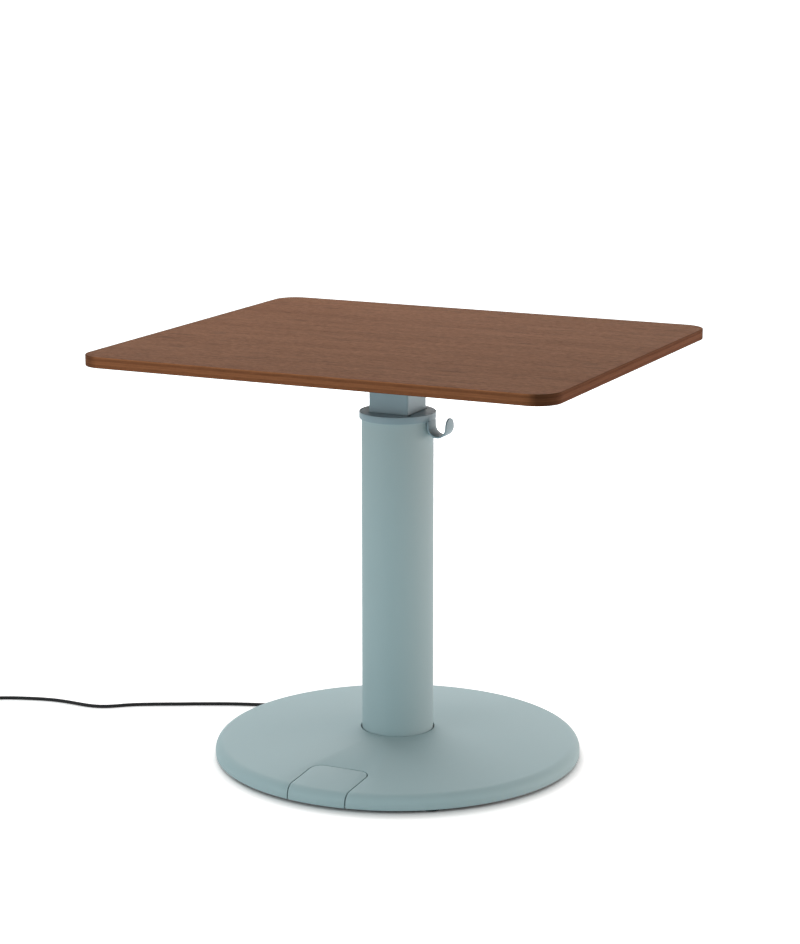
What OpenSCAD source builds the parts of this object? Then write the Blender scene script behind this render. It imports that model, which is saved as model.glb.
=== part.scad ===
// Height-adjustable pedestal desk, lowest position, millimetres.
// Origin: on the floor, under the middle of the tabletop. +X right, +Y back, +Z up.
// Most sub-parts are drawn round the column's axis and then moved to its place.

/* [Tabletop] */
// Length of the tabletop, left to right
top_l = 800; // [700:10:1000]
// Depth of the tabletop, front to back
top_w = 700; // [640:10:800]
// Thickness of the tabletop
top_t = 18; // [17:1:30]
// Radius of the tabletop's corners
top_corner_r = 40; // [10:1:60]
// Bevel on the tabletop's edges
top_bevel = 1; // [0.5:0.1:2]
// How far the middle of the tabletop lies behind the column
top_back = 21; // [0:1:25]

/* [Lift] */
// Height range of the desk
travel = 400; // [300:10:410]
// Side of the square inner tube
inner_w = 70; // [69:0.1:71]
// Wall of the inner tube
inner_wall = 2.5; // [2:0.1:2.8]
// Corner radius of the inner tube
inner_corner_r = 3; // [2.8:0.1:5]
// Diameter of the lead screw
screw_d = 20; // [18:1:22]
// Diameter of the nut's barrel
nut_d = 32; // [30:1:34]
// Height of the nut carrier
carrier_h = 39; // [30:1:45]
// Room inside the inner tube over the lead screw's end stop
head_room = 12.4; // [8:0.1:60]

/* [Column] */
// Outer diameter of the column tube
column_d = 117.4; // [114:0.2:122]
// Wall of the column tube
column_wall = 2.8; // [2:0.1:3]
// Distance from the tabletop's upper face down to the collar
collar_drop = 111.5; // [100:0.5:140]
// Diameter of the collar
collar_d = 125; // [124.4:0.2:130]
// Height of the collar's flange
collar_h = 11.5; // [8:0.5:14]
// Length of the collar's spigot inside the column
spigot_l = 22; // [20:0.5:40]
// Diameter of the column's foot flange
flange_d = 190; // [180:2:200]
// Thickness of the foot flange
flange_t = 8; // [6:0.5:9]

/* [Bag hook] */
// Width of the hook's strap
hook_w = 30; // [20:1:32]
// Thickness of the hook's strap
hook_t = 2.8; // [2.5:0.1:3.5]
// Inner radius of the hook's bend
hook_r = 14.5; // [12:0.5:18]
// Height of the bend's centre below the collar's upper face
hook_drop = 20.2; // [18:0.1:30]

/* [Base] */
// Diameter of the base
base_d = 604; // [600:2:620]
// Gap between the floor and the rim
floor_gap = 5; // [4.5:0.5:6]
// Height of the cover at the column
base_h = 46; // [45:0.5:52]
// Height of the cover where its slope changes
knee_h = 29.7; // [29.4:0.1:31]
// Distance from the rim to where the cover's slope changes
knee_back = 44; // [37:1:52]
// Height of the cover at the start of the rim's rounding
rim_h = 28; // [27.8:0.1:29]
// Radius of the rim's rounding
rim_round = 16; // [14:0.5:17]
// Thickness of the cover
cover_t = 3; // [2.5:0.1:3.2]
// Thickness of the ballast plate
plate_t = 10; // [8:0.5:11]
// Diameter of a glide
glide_d = 28; // [22:1:29]
// Number of glides
glide_count = 5; // [4:1:6]

/* [Foot pedal] */
// Width of the pedal
pedal_w = 98.5; // [96:0.5:104]
// Length of the pedal, from its inner edge to the base's rim
pedal_l = 98; // [95:0.5:99]
// Radius of the pedal's inner corners
pedal_corner_r = 18; // [12:1:22]
// Gap round the pedal
pedal_gap = 2; // [1.4:0.1:2.2]
// Distance from the base's rim to the pedal's pin
pin_back = 73; // [72:0.5:74]
// Height of the pedal's pin
pin_z = 23.2; // [23:0.1:23.5]
// Diameter of the pedal's pin
pin_d = 6; // [5:0.5:6]

/* [Drive] */
// Diameter of the motor
motor_d = 54; // [48:1:55]
// Length of the motor
motor_l = 90; // [70:5:95]
// Length of the gearbox
gearbox_l = 45; // [40:1:50]
// Height of the bearing housing
housing_h = 26; // [26:1:30]

/* [Control box] */
// Length of the control box
case_l = 150; // [140:2:160]
// Depth of the control box
case_w = 90; // [80:2:92]
// Wall of the control box
case_wall = 2; // [1.5:0.1:2.5]
// Distance from the column's axis to the control box
case_y = 115; // [113:1:116]

/* [Mains cord] */
// Diameter of the mains cord
cord_d = 6.2; // [5:0.1:6.4]
// Outer radius of the stored coil, at the middle of the cord
coil_r = 49; // [49:0.5:50]
// Step from one turn of the coil to the next
coil_step = 6.7; // [6.7:0.1:6.8]
// Diameter of the plug
plug_d = 37; // [34:1:40]
// Length of the plug's pins
plug_pin_l = 19; // [17:0.5:20]

/* [Hidden] */
$fn = 96;
eps = 0.01;

// Clearances
run_gap = 0.05;      // radial, shaft in its bore
thread_gap = 0.05;   // radial, screw in its hole
slide_gap = 0.15;    // a side, square tube in its guide
guide_gap = 0.3;     // radial, lower guide in the column
fit_gap = 0.1;       // a side, piece seated in its pocket
rest_gap = 0.3;      // between pieces of two bodies that meet at rest
hole_gap = 2.3;      // radial, column in the cover
mouth_gap = 1.6;     // a side, square tube in the collar's mouth
rim_gap = 1;         // radial, ballast plate in the cover's rim

// The column's place
column_y = -top_back;

// Radii
base_r = base_d / 2;
column_r = column_d / 2;
bore_r = column_r - column_wall;
collar_r = collar_d / 2;
hole_r = column_r + hole_gap;
flange_r = flange_d / 2;
case_corner_r = norm([case_l / 2 + case_wall, case_y + case_w]);
knee_room = 35.8;
knee_r = max(base_r - knee_back, case_corner_r + knee_room);
inner_half = inner_w / 2;
inner_bore = inner_w - 2 * inner_wall;
screw_r = screw_d / 2;
nut_r = nut_d / 2;
motor_r = motor_d / 2;
gearbox_r = motor_r + 0.5;

// Levels, from the floor up
plate_z0 = floor_gap + 1;
plate_z1 = plate_z0 + plate_t;
plate_r = base_r - cover_t - rim_gap;
glide_circle_r = plate_r - glide_d / 2;
flange_z1 = plate_z1 + flange_t;
buffer_h = 14.7;
guide_z0 = flange_z1 + buffer_h + rest_gap;
guide_lip = 4;
collar_round = 0.6;
guide_h = 44;
inner_z0 = guide_z0 + guide_lip;
motor_z1 = flange_z1 + motor_l;
gearbox_z1 = motor_z1 + gearbox_l;
housing_z1 = gearbox_z1 + housing_h;

// Screws: shank radius, head radius, head height
m4 = [2, 3.5, 3];
m5 = [2.5, 4.5, 3];
m6 = [3, 5, 3.5];
m8 = [4, 6.5, 5];
m3 = [1.5, 2.8, 2.2];
m3_flat = [1.5, 2.8, 1.5];
m5_flat = [2.5, 4.5, 2];

// Nut and carrier, standing over the bearing housing at rest
nut_head_gap = 2.5;
nut_flange_t = 6;
nut_flange_r = nut_r + 8;
nut_screw_circle = nut_r + 4.5;
nut_z0 = housing_z1 + m4[2] + nut_head_gap + m4[2];
carrier_z0 = nut_z0 + nut_flange_t;
carrier_z1 = carrier_z0 + carrier_h;
screw_z1 = carrier_z1 + travel + 10;
stop_t = 2.5;

// Levels that follow from the lift: the tabletop's, the spider's and the collar's
spider_plate_t = 6;
inner_z1 = screw_z1 + 2 * stop_t + head_room;
under_z = inner_z1 + fit_gap + spider_plate_t;
table_h = under_z + top_t;
collar_top = table_h - collar_drop;
column_z1 = collar_top - collar_h;
spigot_z0 = column_z1 - spigot_l;

// Bearing of the lead screw
bearing_w = 9;
bearing_in_r = 7.5;
bearing_out_r = 16;
bearing_race = 2.4;
bearing_z0 = gearbox_z1 + 12;
bearing_z1 = bearing_z0 + bearing_w;
journal_z0 = gearbox_z1 + 4;
shaft_r = 5;
shaft_z0 = gearbox_z1 - 10;
shaft_z1 = journal_z0 + 9.9;
drive_pin_z = journal_z0 + 3;
drive_pin_r = 1.5;
clip_t = 1.2;
housing_screw_circle = gearbox_r - 5;

// Guides
guide_wall = 2.4;
guide_square = inner_w + 2 * guide_wall;
pocket_square = guide_square + 2 * fit_gap;
mouth_square = inner_w + 2 * mouth_gap;
mouth_t = 5;
upper_guide_base_t = 4;
upper_guide_screw_circle = 46;

// Spider under the top
spider_plate_w = 130;
hub_wall = 8.8;
hub_w = inner_w + 2 * hub_wall;
hub_h = 36;
hub_z0 = under_z - hub_h;
arm_l = 290;
arm_a = 41.5;
arm_w = 28;
arm_depth = 32;
arm_pad_r = 22;
arm_root = 8;
arm_flat = 20;
hub_screw_z = hub_z0 + 14;
plate_screw_r = hub_w / 2 + 12;
insert_l = 13;
insert_r = 4.4;
top_screw_l = 17.5;

// Hook
hook_x0 = column_r + fit_gap;
hook_cx = hook_x0 + hook_t + hook_r;
hook_cz = collar_top - hook_drop;
hook_tab_w = 16;
hook_tab_t = 2.2;
hook_tab_h = 6;

// Base fasteners
cover_screw_count = 6;
cover_screw_circle_r = base_r - 40;
cover_screw_l = plate_t + 10;
foot_bolt_count = 6;
foot_bolt_circle_r = 76;
motor_bolt_circle_r = 20;
plate_hole_r = 32;
buffer_circle_r = 44;
buffer_r = 7;

// Pedal
pedal_y = base_r - pedal_l;
pin_y = base_r - pin_back;
pedal_rib_x = 40;
pedal_rib_w = 6;
pedal_rib_z = 24.5;
pedal_rib_end = base_r - 16;
lug_r = 5.2;
post_x = 30;
post_d = 14;
bracket_t = 1.8;
bracket_rise = 4.3;
bracket_screw_l = 7;
seat_r = 5;
seat_z = 27;
spring_x = 18;
spring_y = [pin_y - 16, pin_y + 16];
spring_r = 3.5;
spring_wire = 1;
spring_turns = 5;
magnet_y = base_r - 40;
magnet_z = 25;
magnet_r = 4;
magnet_h = 3;
board_t = 1.6;
notch_y = base_r - 12;

// Control box
case_z0 = 9;
case_h = 18.5;
case_z1 = case_z0 + case_h;
lid_t = 2;
lid_screw_l = 10;
case_post_r = 4;
ear_w = 12;
board_z = case_z0 + case_wall + 3;
window_gap = 1.5;
ear_y = 20;
relief_y = 45;
relief_z = 19;
relief_l = 30;
relief_neck_r = 4.6;
relief_flange_r = 6.5;
slot_w = 15;

// Leads inside the base, round the column's axis
motor_lead_r = 2.5;
sensor_lead_r = 2;
motor_lead_x = 0;
sensor_lead_x = 40;
board_x = 20;

// Mains cord: the floor route from the strain relief to the coil, chosen by hand
cord_r = cord_d / 2;
cord_exit = [-case_l / 2 - case_wall - relief_l, column_y + case_y + relief_y, relief_z];
cord_route = [
    [-126, 139, 18.5],
    [-146, 139, 15.5],
    [-166, 139, 11],
    [-186, 138, 6.5],
    [-206, 135, 4],
    [-226, 130, 3.2],
    [-248, 123, 3.2],
    [-271, 116, 3.2],
    [-296, 108, 3.2],
    [-321, 99, 3.2],
    [-344, 91, 3.2],
    [-366, 83, 3.2],
    [-387, 74, 3.2],
    [-408, 64, 3.2],
    [-431, 53, 3.2],
    [-454, 41, 3.2],
    [-478, 29, 3.2],
    [-501, 17, 3.2],
    [-519, 7, 3.2],
    [-535, -4, 3.2],
    [-549, -16, 3.2],
    [-563, -26, 3.2],
    [-580, -33, 3.2],
    [-600, -35, 3.2],
    [-622, -34, 3.2],
    [-644, -33, 3.2],
    [-666, -34, 3.2],
    [-688, -38, 3.2],
    [-709, -44, 3.2],
    [-730, -51, 3.2],
    [-749, -59, 3.2],
    [-767, -69, 3.2],
    [-784, -82, 3.2],
    [-799, -99, 3.2],
    [-810, -120, 3.2]
];

// Coil: one tube that winds in, climbs a layer and winds out again
coil_c = [-770, -160];
coil_a0 = 168;
coil_turns = 7 + 42 / 360;
coil_layer = cord_d + 0.6;
coil_rings = 24;
coil_mid = coil_turns / 2;
tie_a = 190;
tie_w = 8;
tie_t = 0.6;
tie_gap = 0.1;
tie_side_gap = 0.4;
coil_z = tie_t + cord_r * sin(60) + tie_gap;

// Tail from the coil to the plug
tail_a = coil_a0 + 360 * coil_turns + 90;
tail_dir = [cos(tail_a), sin(tail_a), 0];
boot_l = 30;
boot_r = 5.4;
plug_l = 32;
plug_z = plug_d / 2 + 0.1;
tail_l = 84;
plug_pin_r = 2.4;
plug_root_r = 1.8;
plug_root_l = 12;
plug_pin_gap = 19;
earth_clip_w = 4.8;
earth_clip_t = 1;
earth_clip_l = 15;
earth_clip_x = 17;

// Shared shapes

module at_column() {
    translate([0, column_y, 0]) children();
}

module around(count, radius, start = 0) {
    for (i = [0 : count - 1])
        rotate(start + i * 360 / count) translate([radius, 0, 0]) children();
}

module disc(r, z0, z1) {
    translate([0, 0, z0]) cylinder(r = r, h = z1 - z0);
}

module ring(r_out, r_in, z0, z1) {
    difference() {
        disc(r_out, z0, z1);
        disc(r_in, z0 - 1, z1 + 1);
    }
}

module box(low, high) {
    translate(low) cube(high - low);
}

module square_bar(side, z0, z1) {
    translate([-side / 2, -side / 2, z0]) cube([side, side, z1 - z0]);
}

// Square section with round corners
module round_square(side, r) {
    square([side - 2 * r, side], center = true);
    square([side, side - 2 * r], center = true);
    for (sx = [-1, 1], sy = [-1, 1])
        translate([sx * (side / 2 - r), sy * (side / 2 - r)]) circle(r = r);
}

// Screw that points up, with its head's upper face at z = 0
module screw_up(size, length) {
    cylinder(r = size[0], h = length);
    translate([0, 0, -size[2]]) cylinder(r = size[1], h = size[2]);
}

// Countersunk screw that points up, with its head's face at z = 0
module flat_screw(size, length) {
    cylinder(r = size[0], h = length);
    cylinder(r1 = size[1], r2 = size[0], h = size[2]);
}

module flat_hole(size, length) {
    cylinder(r = size[0] + thread_gap, h = length);
    translate([0, 0, -eps])
        cylinder(r1 = size[1] + 2 * fit_gap, r2 = size[0] + thread_gap, h = size[2] + fit_gap + eps);
}

// Slab with round corners and a small bevel all round
module bevelled_slab(l, w, t, r, b) {
    for (side = [[l - 2 * r, w, 90], [w - 2 * r, l, 0]])
        rotate([90, 0, side[2]])
            linear_extrude(side[0], center = true)
                let (h = side[1] / 2)
                polygon([[b - h, 0], [h - b, 0], [h, b], [h, t - b],
                         [h - b, t], [b - h, t], [-h, t - b], [-h, b]]);
    for (sx = [-1, 1], sy = [-1, 1])
        translate([sx * (l / 2 - r), sy * (w / 2 - r), 0])
            rotate_extrude()
                polygon([[0, 0], [r - b, 0], [r, b], [r, t - b], [r - b, t], [0, t]]);
}

// Swept tubes

function unit(v) = v / norm(v);
function flat_side(t) = unit(cross(t, [0, 0, 1]));
function circle_at(p, t, r, n) =
    let (s = flat_side(t), u = cross(s, t))
    [for (k = [0 : n - 1]) p + r * (cos(360 * k / n) * s + sin(360 * k / n) * u)];
function heading(path, i) = unit(path[min(i + 1, len(path) - 1)] - path[max(i - 1, 0)]);

// Two steps of a smooth curve for each stretch between hand-chosen points
function between(a, b, c, d) = (9 * (b + c) - a - d) / 16;
function smooth(path) =
    let (n = len(path) - 1)
    [for (i = [0 : n])
        for (p = i < n
            ? [path[i], between(path[max(i - 1, 0)], path[i], path[i + 1], path[min(i + 2, n)])]
            : [path[n]]) p];

module swept_tube(path, r, n, start_dir, end_dir) {
    last = len(path) - 1;
    rings = [for (i = [0 : last])
        circle_at(path[i], i == 0 ? start_dir : i == last ? end_dir : heading(path, i), r, n)];
    points = [for (section = rings) each section];
    walls = [for (i = [0 : last - 1], k = [0 : n - 1])
        let (a = i * n + k, b = i * n + (k + 1) % n)
        each [[a, b, b + n], [a, b + n, a + n]]];
    caps = [for (k = [1 : n - 2]) each [[0, k + 1, k], [last * n, last * n + k, last * n + k + 1]]];
    polyhedron(points, concat(walls, caps));
}

// Profile of the cover's outer skin, t below the outer surface

function skin(t) = concat(
    [[hole_r, base_h - t], [knee_r, knee_h - t]],
    [for (i = [0 : 8])
        let (a = 90 - i * 90 / 8)
        [base_r - rim_round + (rim_round - t) * cos(a), rim_h - rim_round + (rim_round - t) * sin(a)]],
    [[base_r - t, floor_gap]]);
function reversed(v) = [for (i = [len(v) - 1 : -1 : 0]) v[i]];
function surface_h(r) = r < knee_r
    ? base_h + (knee_h - base_h) * (r - hole_r) / (knee_r - hole_r)
    : knee_h + (rim_h - knee_h) * (r - knee_r) / (base_r - rim_round - knee_r);

module cover_skin() {
    rotate_extrude() polygon(concat(skin(0), reversed(skin(cover_t))));
}

// Everything under the skin, with a seam between
module below_skin(depth) {
    rotate_extrude() polygon(concat(skin(depth), [[base_r - depth, 0], [hole_r, 0]]));
}

module pedal_outline(grow) {
    half = pedal_w / 2 + grow;
    r = pedal_corner_r + grow;
    inner = grow - pedal_y;
    translate([-half, -base_d]) square([2 * half, base_d + inner - r]);
    translate([r - half, -base_d]) square([2 * (half - r), base_d + inner]);
    for (side = [-1, 1])
        translate([side * (half - r), inner - r]) circle(r = r);
}

// Base

function slot_line() = [[-case_l / 2 + 4, case_y + relief_y], [-206, 156], [-310, 124], [-340, 114]];
function slot_path() = concat(
    [for (p = slot_line()) p + [0, slot_w / 2]],
    [for (p = reversed(slot_line())) p - [0, slot_w / 2]]);

module cable_slot(z0, z1) {
    translate([0, 0, z0]) linear_extrude(z1 - z0) polygon(slot_path());
}

module base_cover() {
    boss_h = surface_h(cover_screw_circle_r) - cover_t / 2;
    color([0.62, 0.7, 0.7]) at_column() difference() {
        union() {
            difference() {
                cover_skin();
                linear_extrude(2 * base_h) pedal_outline(pedal_gap);
            }
            around(cover_screw_count, cover_screw_circle_r) disc(6, plate_z1, boss_h);
        }
        around(cover_screw_count, cover_screw_circle_r)
            disc(m4[0] + thread_gap, plate_z1 - 1, plate_z0 + cover_screw_l + 0.6);
        cable_slot(0, floor_gap + 4);
    }
}

module ballast_plate() {
    color([0.25, 0.26, 0.27]) at_column() difference() {
        disc(plate_r, plate_z0, plate_z1);
        disc(plate_hole_r, plate_z0 - 1, plate_z1 + 1);
        box([-pedal_w / 2 - 6, -base_r, plate_z0 - 1], [pedal_w / 2 + 6, -notch_y, plate_z1 + 1]);
        box([-case_l / 2 - case_wall - window_gap, case_y - window_gap, plate_z0 - 1],
            [case_l / 2 + case_wall + window_gap, case_y + case_w + window_gap, plate_z1 + 1]);
        cable_slot(plate_z0 - 1, plate_z1 + 1);
        around(cover_screw_count, cover_screw_circle_r)
            translate([0, 0, plate_z0]) flat_hole(m4, plate_t + 1);
        around(foot_bolt_count, foot_bolt_circle_r) {
            disc(m8[0] + thread_gap, plate_z0 - 1, plate_z1 + 1);
            disc(m8[1] + 0.5, plate_z0 - 1, plate_z0 + m8[2] + 0.5);
        }
        around(glide_count, glide_circle_r, 90) disc(m5[0] + thread_gap, plate_z0 - 1, plate_z0 + 8.5);
        for (side = [-1, 1]) {
            translate([side * post_x, -pin_y, 0])
                disc(m3_flat[0] + thread_gap, plate_z1 + bracket_t - bracket_screw_l - 0.5, plate_z1 + 1);
            translate([side * (case_l / 2 + case_wall + ear_w / 2), case_y + ear_y, 0])
                disc(m4[0] + thread_gap, plate_z1 - 6, plate_z1 + 1);
        }
    }
}

module cover_screws() {
    color([0.75, 0.75, 0.75]) at_column() around(cover_screw_count, cover_screw_circle_r)
        translate([0, 0, plate_z0 + fit_gap]) flat_screw(m4, cover_screw_l);
}

module glides() {
    color([0.12, 0.15, 0.16]) at_column() around(glide_count, glide_circle_r, 90) difference() {
        rotate_extrude() polygon([[0, 0], [glide_d / 2 - 1.5, 0], [glide_d / 2, 1.5],
                                  [glide_d / 2, plate_z0], [0, plate_z0]]);
        disc(m5[1] + 0.5, -1, plate_z0 - 2);
        disc(m5[0] + thread_gap, -1, plate_z0 + 1);
    }
}

module glide_screws() {
    color([0.7, 0.7, 0.7]) at_column() around(glide_count, glide_circle_r, 90)
        translate([0, 0, plate_z0 - 2]) screw_up(m5, 10);
}

module foot_flange() {
    color([0.3, 0.31, 0.32]) at_column() difference() {
        disc(flange_r, plate_z1, flange_z1);
        around(foot_bolt_count, foot_bolt_circle_r) disc(m8[0] + thread_gap, plate_z1 - 1, flange_z1 + 1);
        around(4, motor_bolt_circle_r, 45) disc(m4[0] + thread_gap, plate_z1 - 1, flange_z1 + 1);
        box([motor_lead_x - 4, 36, plate_z1 - 1], [motor_lead_x + 4, flange_r + 1, flange_z1 + 1]);
    }
}

module foot_bolts() {
    color([0.7, 0.7, 0.7]) at_column() around(foot_bolt_count, foot_bolt_circle_r)
        translate([0, 0, plate_z0 + m8[2] + 0.5]) screw_up(m8, plate_t + flange_t - m8[2] - 1);
}

module column_tube() {
    color([0.55, 0.62, 0.63]) at_column() ring(column_r, bore_r, flange_z1, column_z1);
}

module stop_buffers() {
    color([0.15, 0.15, 0.15]) at_column() around(4, buffer_circle_r, 45)
        disc(buffer_r, flange_z1, flange_z1 + buffer_h);
}

// Collar, its guide and the bag hook

module hook_tab(grow) {
    box([hook_x0 - grow, -hook_tab_w / 2 - grow, column_z1 - 1],
        [hook_x0 + hook_tab_t + grow, hook_tab_w / 2 + grow, column_z1 + hook_tab_h + grow]);
}

module collar() {
    color([0.52, 0.6, 0.62]) at_column() difference() {
        union() {
            disc(bore_r - fit_gap, spigot_z0, column_z1 + 1);
            rotate_extrude() polygon([[0, column_z1], [collar_r - collar_round, column_z1],
                                      [collar_r, column_z1 + collar_round], [collar_r, collar_top - 1],
                                      [collar_r - 1, collar_top], [0, collar_top]]);
        }
        square_bar(pocket_square, spigot_z0 - 1, collar_top - mouth_t);
        square_bar(mouth_square, spigot_z0 - 1, collar_top + 1);
        around(4, upper_guide_screw_circle) disc(m3[0] + thread_gap, spigot_z0 - 1, spigot_z0 + 9);
        hook_tab(fit_gap / 2);
    }
}

module upper_guide() {
    color([0.1, 0.1, 0.1]) at_column() difference() {
        union() {
            disc(bore_r - guide_gap, spigot_z0 - upper_guide_base_t, spigot_z0);
            square_bar(guide_square, spigot_z0 - eps, collar_top - mouth_t - fit_gap);
        }
        square_bar(inner_w + 2 * slide_gap, spigot_z0 - 10, collar_top);
        around(4, upper_guide_screw_circle)
            disc(m3[0] + thread_gap, spigot_z0 - upper_guide_base_t - 1, spigot_z0 + 1);
    }
}

module upper_guide_screws() {
    color([0.7, 0.7, 0.7]) at_column() around(4, upper_guide_screw_circle)
        translate([0, 0, spigot_z0 - upper_guide_base_t]) screw_up(m3, 12);
}

module bag_hook() {
    outer = hook_r + hook_t;
    color([0.5, 0.58, 0.6]) at_column() union() {
        translate([hook_cx, 0, hook_cz]) rotate([90, 0, 0]) difference() {
            cylinder(r = outer, h = hook_w, center = true);
            cylinder(r = hook_r, h = hook_w + 2, center = true);
            translate([-2 * outer, 0, -hook_w]) cube([4 * outer, 2 * outer, 2 * hook_w]);
        }
        box([hook_x0, -hook_w / 2, hook_cz], [hook_x0 + hook_t, hook_w / 2, column_z1]);
        box([hook_x0, -hook_tab_w / 2, column_z1 - eps],
            [hook_x0 + hook_tab_t, hook_tab_w / 2, column_z1 + hook_tab_h]);
        translate([hook_cx + hook_r, 0, hook_cz]) rotate([0, 90, 0]) difference() {
            cylinder(r = hook_w / 2, h = hook_t);
            translate([0, -hook_w, -1]) cube([hook_w, 2 * hook_w, hook_t + 2]);
        }
    }
}

// Drive in the foot of the column

module drive_motor() {
    color([0.3, 0.3, 0.32]) at_column() difference() {
        union() {
            disc(motor_r, flange_z1, motor_z1);
            translate([0, motor_r - 3, flange_z1 + 8]) rotate([-90, 0, 0]) cylinder(r = 4, h = 4);
        }
        around(4, motor_bolt_circle_r, 45) disc(m4[0] + thread_gap, flange_z1 - 1, flange_z1 + 9);
    }
}

module motor_gearbox() {
    color([0.6, 0.6, 0.62]) at_column() difference() {
        rotate_extrude() polygon([[0, motor_z1], [gearbox_r, motor_z1], [gearbox_r, motor_z1 + 4],
                                  [gearbox_r - 1.5, motor_z1 + 6], [gearbox_r - 1.5, gearbox_z1 - 12],
                                  [gearbox_r, gearbox_z1 - 10], [gearbox_r, gearbox_z1], [0, gearbox_z1]]);
        disc(shaft_r + run_gap, shaft_z0 - 0.2, gearbox_z1 + 1);
        around(4, housing_screw_circle, 45) disc(m4[0] + thread_gap, gearbox_z1 - 9, gearbox_z1 + 1);
    }
}

module motor_bolts() {
    color([0.75, 0.75, 0.75]) at_column() around(4, motor_bolt_circle_r, 45)
        translate([0, 0, plate_z1]) screw_up(m4, flange_t + 8);
}

module bearing_housing() {
    color([0.62, 0.62, 0.64]) at_column() difference() {
        disc(gearbox_r, gearbox_z1, housing_z1);
        disc(bearing_in_r + 4, gearbox_z1 - 1, bearing_z0 + 1);
        disc(bearing_out_r + run_gap, bearing_z0, housing_z1 + 1);
        around(4, housing_screw_circle, 45) disc(m4[0] + thread_gap, gearbox_z1 - 1, housing_z1 + 1);
    }
}

module housing_screws() {
    color([0.75, 0.75, 0.75]) at_column() around(4, housing_screw_circle, 45)
        translate([0, 0, housing_z1]) rotate([180, 0, 0]) screw_up(m4, housing_h + 8.5);
}

module bearing_outer_ring() {
    color([0.8, 0.8, 0.82]) at_column()
        ring(bearing_out_r, bearing_out_r - bearing_race, bearing_z0, bearing_z1);
}

module bearing_balls() {
    mid_r = (bearing_in_r + bearing_out_r) / 2;
    ball_r = (bearing_out_r - bearing_in_r) / 2 - bearing_race - 0.1;
    color([0.85, 0.85, 0.87]) at_column() around(9, mid_r)
        translate([0, 0, bearing_z0 + bearing_w / 2]) sphere(r = ball_r);
}

module bearing_retainer() {
    color([0.45, 0.45, 0.47]) at_column() ring(bearing_out_r, screw_r + 1.5, bearing_z1, housing_z1);
}

// Turning parts

module lead_screw() {
    color([0.7, 0.7, 0.72]) at_column() difference() {
        union() {
            disc(bearing_in_r, journal_z0, bearing_z1 + eps);
            disc(screw_r, bearing_z1, screw_z1);
        }
        disc(shaft_r + fit_gap, journal_z0 - 1, shaft_z1 + fit_gap);
        translate([0, 0, drive_pin_z]) rotate([0, 90, 0])
            cylinder(r = drive_pin_r + thread_gap, h = 4 * bearing_in_r, center = true);
    }
}

module gearbox_shaft() {
    color([0.75, 0.75, 0.77]) at_column() difference() {
        disc(shaft_r, shaft_z0, shaft_z1);
        translate([0, 0, drive_pin_z]) rotate([0, 90, 0])
            cylinder(r = drive_pin_r + thread_gap, h = 4 * shaft_r, center = true);
    }
}

module drive_pin() {
    color([0.6, 0.6, 0.62]) at_column() translate([0, 0, drive_pin_z]) rotate([0, 90, 0])
        cylinder(r = drive_pin_r, h = 2 * bearing_in_r, center = true);
}

module bearing_inner_ring() {
    color([0.8, 0.8, 0.82]) at_column()
        ring(bearing_in_r + bearing_race, bearing_in_r + thread_gap, bearing_z0, bearing_z1);
}

module journal_clip() {
    color([0.4, 0.4, 0.42]) at_column()
        ring(bearing_in_r + 2.4, bearing_in_r + thread_gap, bearing_z0 - clip_t, bearing_z0);
}

module screw_stop() {
    color([0.4, 0.4, 0.42]) at_column() union() {
        disc(screw_r + 4, screw_z1, screw_z1 + stop_t);
        disc(m6[1], screw_z1 + stop_t - eps, screw_z1 + 2 * stop_t);
    }
}

// Lifting parts

module inner_tube() {
    color([0.45, 0.52, 0.53]) at_column() difference() {
        translate([0, 0, inner_z0]) linear_extrude(inner_z1 - inner_z0) difference() {
            round_square(inner_w, inner_corner_r);
            square(inner_bore, center = true);
        }
        for (a = [0 : 90 : 270]) rotate(a) {
            translate([inner_half, 0, carrier_z0 + carrier_h / 2]) rotate([0, -90, 0])
                flat_hole(m5_flat, 20);
            translate([inner_half + 1, 0, guide_z0 + guide_h / 2]) rotate([0, -90, 0])
                cylinder(r = m4[0] + thread_gap, h = 10);
            translate([inner_half + 1, 0, hub_screw_z]) rotate([0, -90, 0])
                cylinder(r = m6[0] + thread_gap, h = 10);
        }
    }
}

module lower_guide() {
    color([0.1, 0.1, 0.1]) at_column() difference() {
        disc(bore_r - guide_gap, guide_z0, guide_z0 + guide_h);
        square_bar(inner_w + 2 * fit_gap, inner_z0, guide_z0 + guide_h + 1);
        disc(motor_r + 2, guide_z0 - 1, guide_z0 + guide_h);
        for (a = [0 : 90 : 270]) rotate(a)
            translate([bore_r + 1, 0, guide_z0 + guide_h / 2]) rotate([0, -90, 0]) {
                cylinder(r = m4[0] + thread_gap, h = bore_r);
                cylinder(r = m4[1] + 0.4, h = m4[2] + 3);
            }
    }
}

module lower_guide_screws() {
    color([0.7, 0.7, 0.7]) at_column() for (a = [0 : 90 : 270]) rotate(a)
        translate([bore_r - m4[2] - 2, 0, guide_z0 + guide_h / 2]) rotate([0, -90, 0])
            screw_up(m4, bore_r - m4[2] - 2 - inner_bore / 2);
}

module spindle_nut() {
    color([0.72, 0.58, 0.3]) at_column() difference() {
        union() {
            disc(nut_flange_r, nut_z0, carrier_z0);
            disc(nut_r, carrier_z0 - eps, carrier_z1 - 4);
        }
        disc(screw_r + run_gap, nut_z0 - 1, carrier_z1);
        around(4, nut_screw_circle, 45) disc(m4[0] + thread_gap, nut_z0 - 1, carrier_z0 + 1);
    }
}

module nut_screws() {
    color([0.7, 0.7, 0.7]) at_column() around(4, nut_screw_circle, 45)
        translate([0, 0, nut_z0]) screw_up(m4, nut_flange_t + 10);
}

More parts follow.
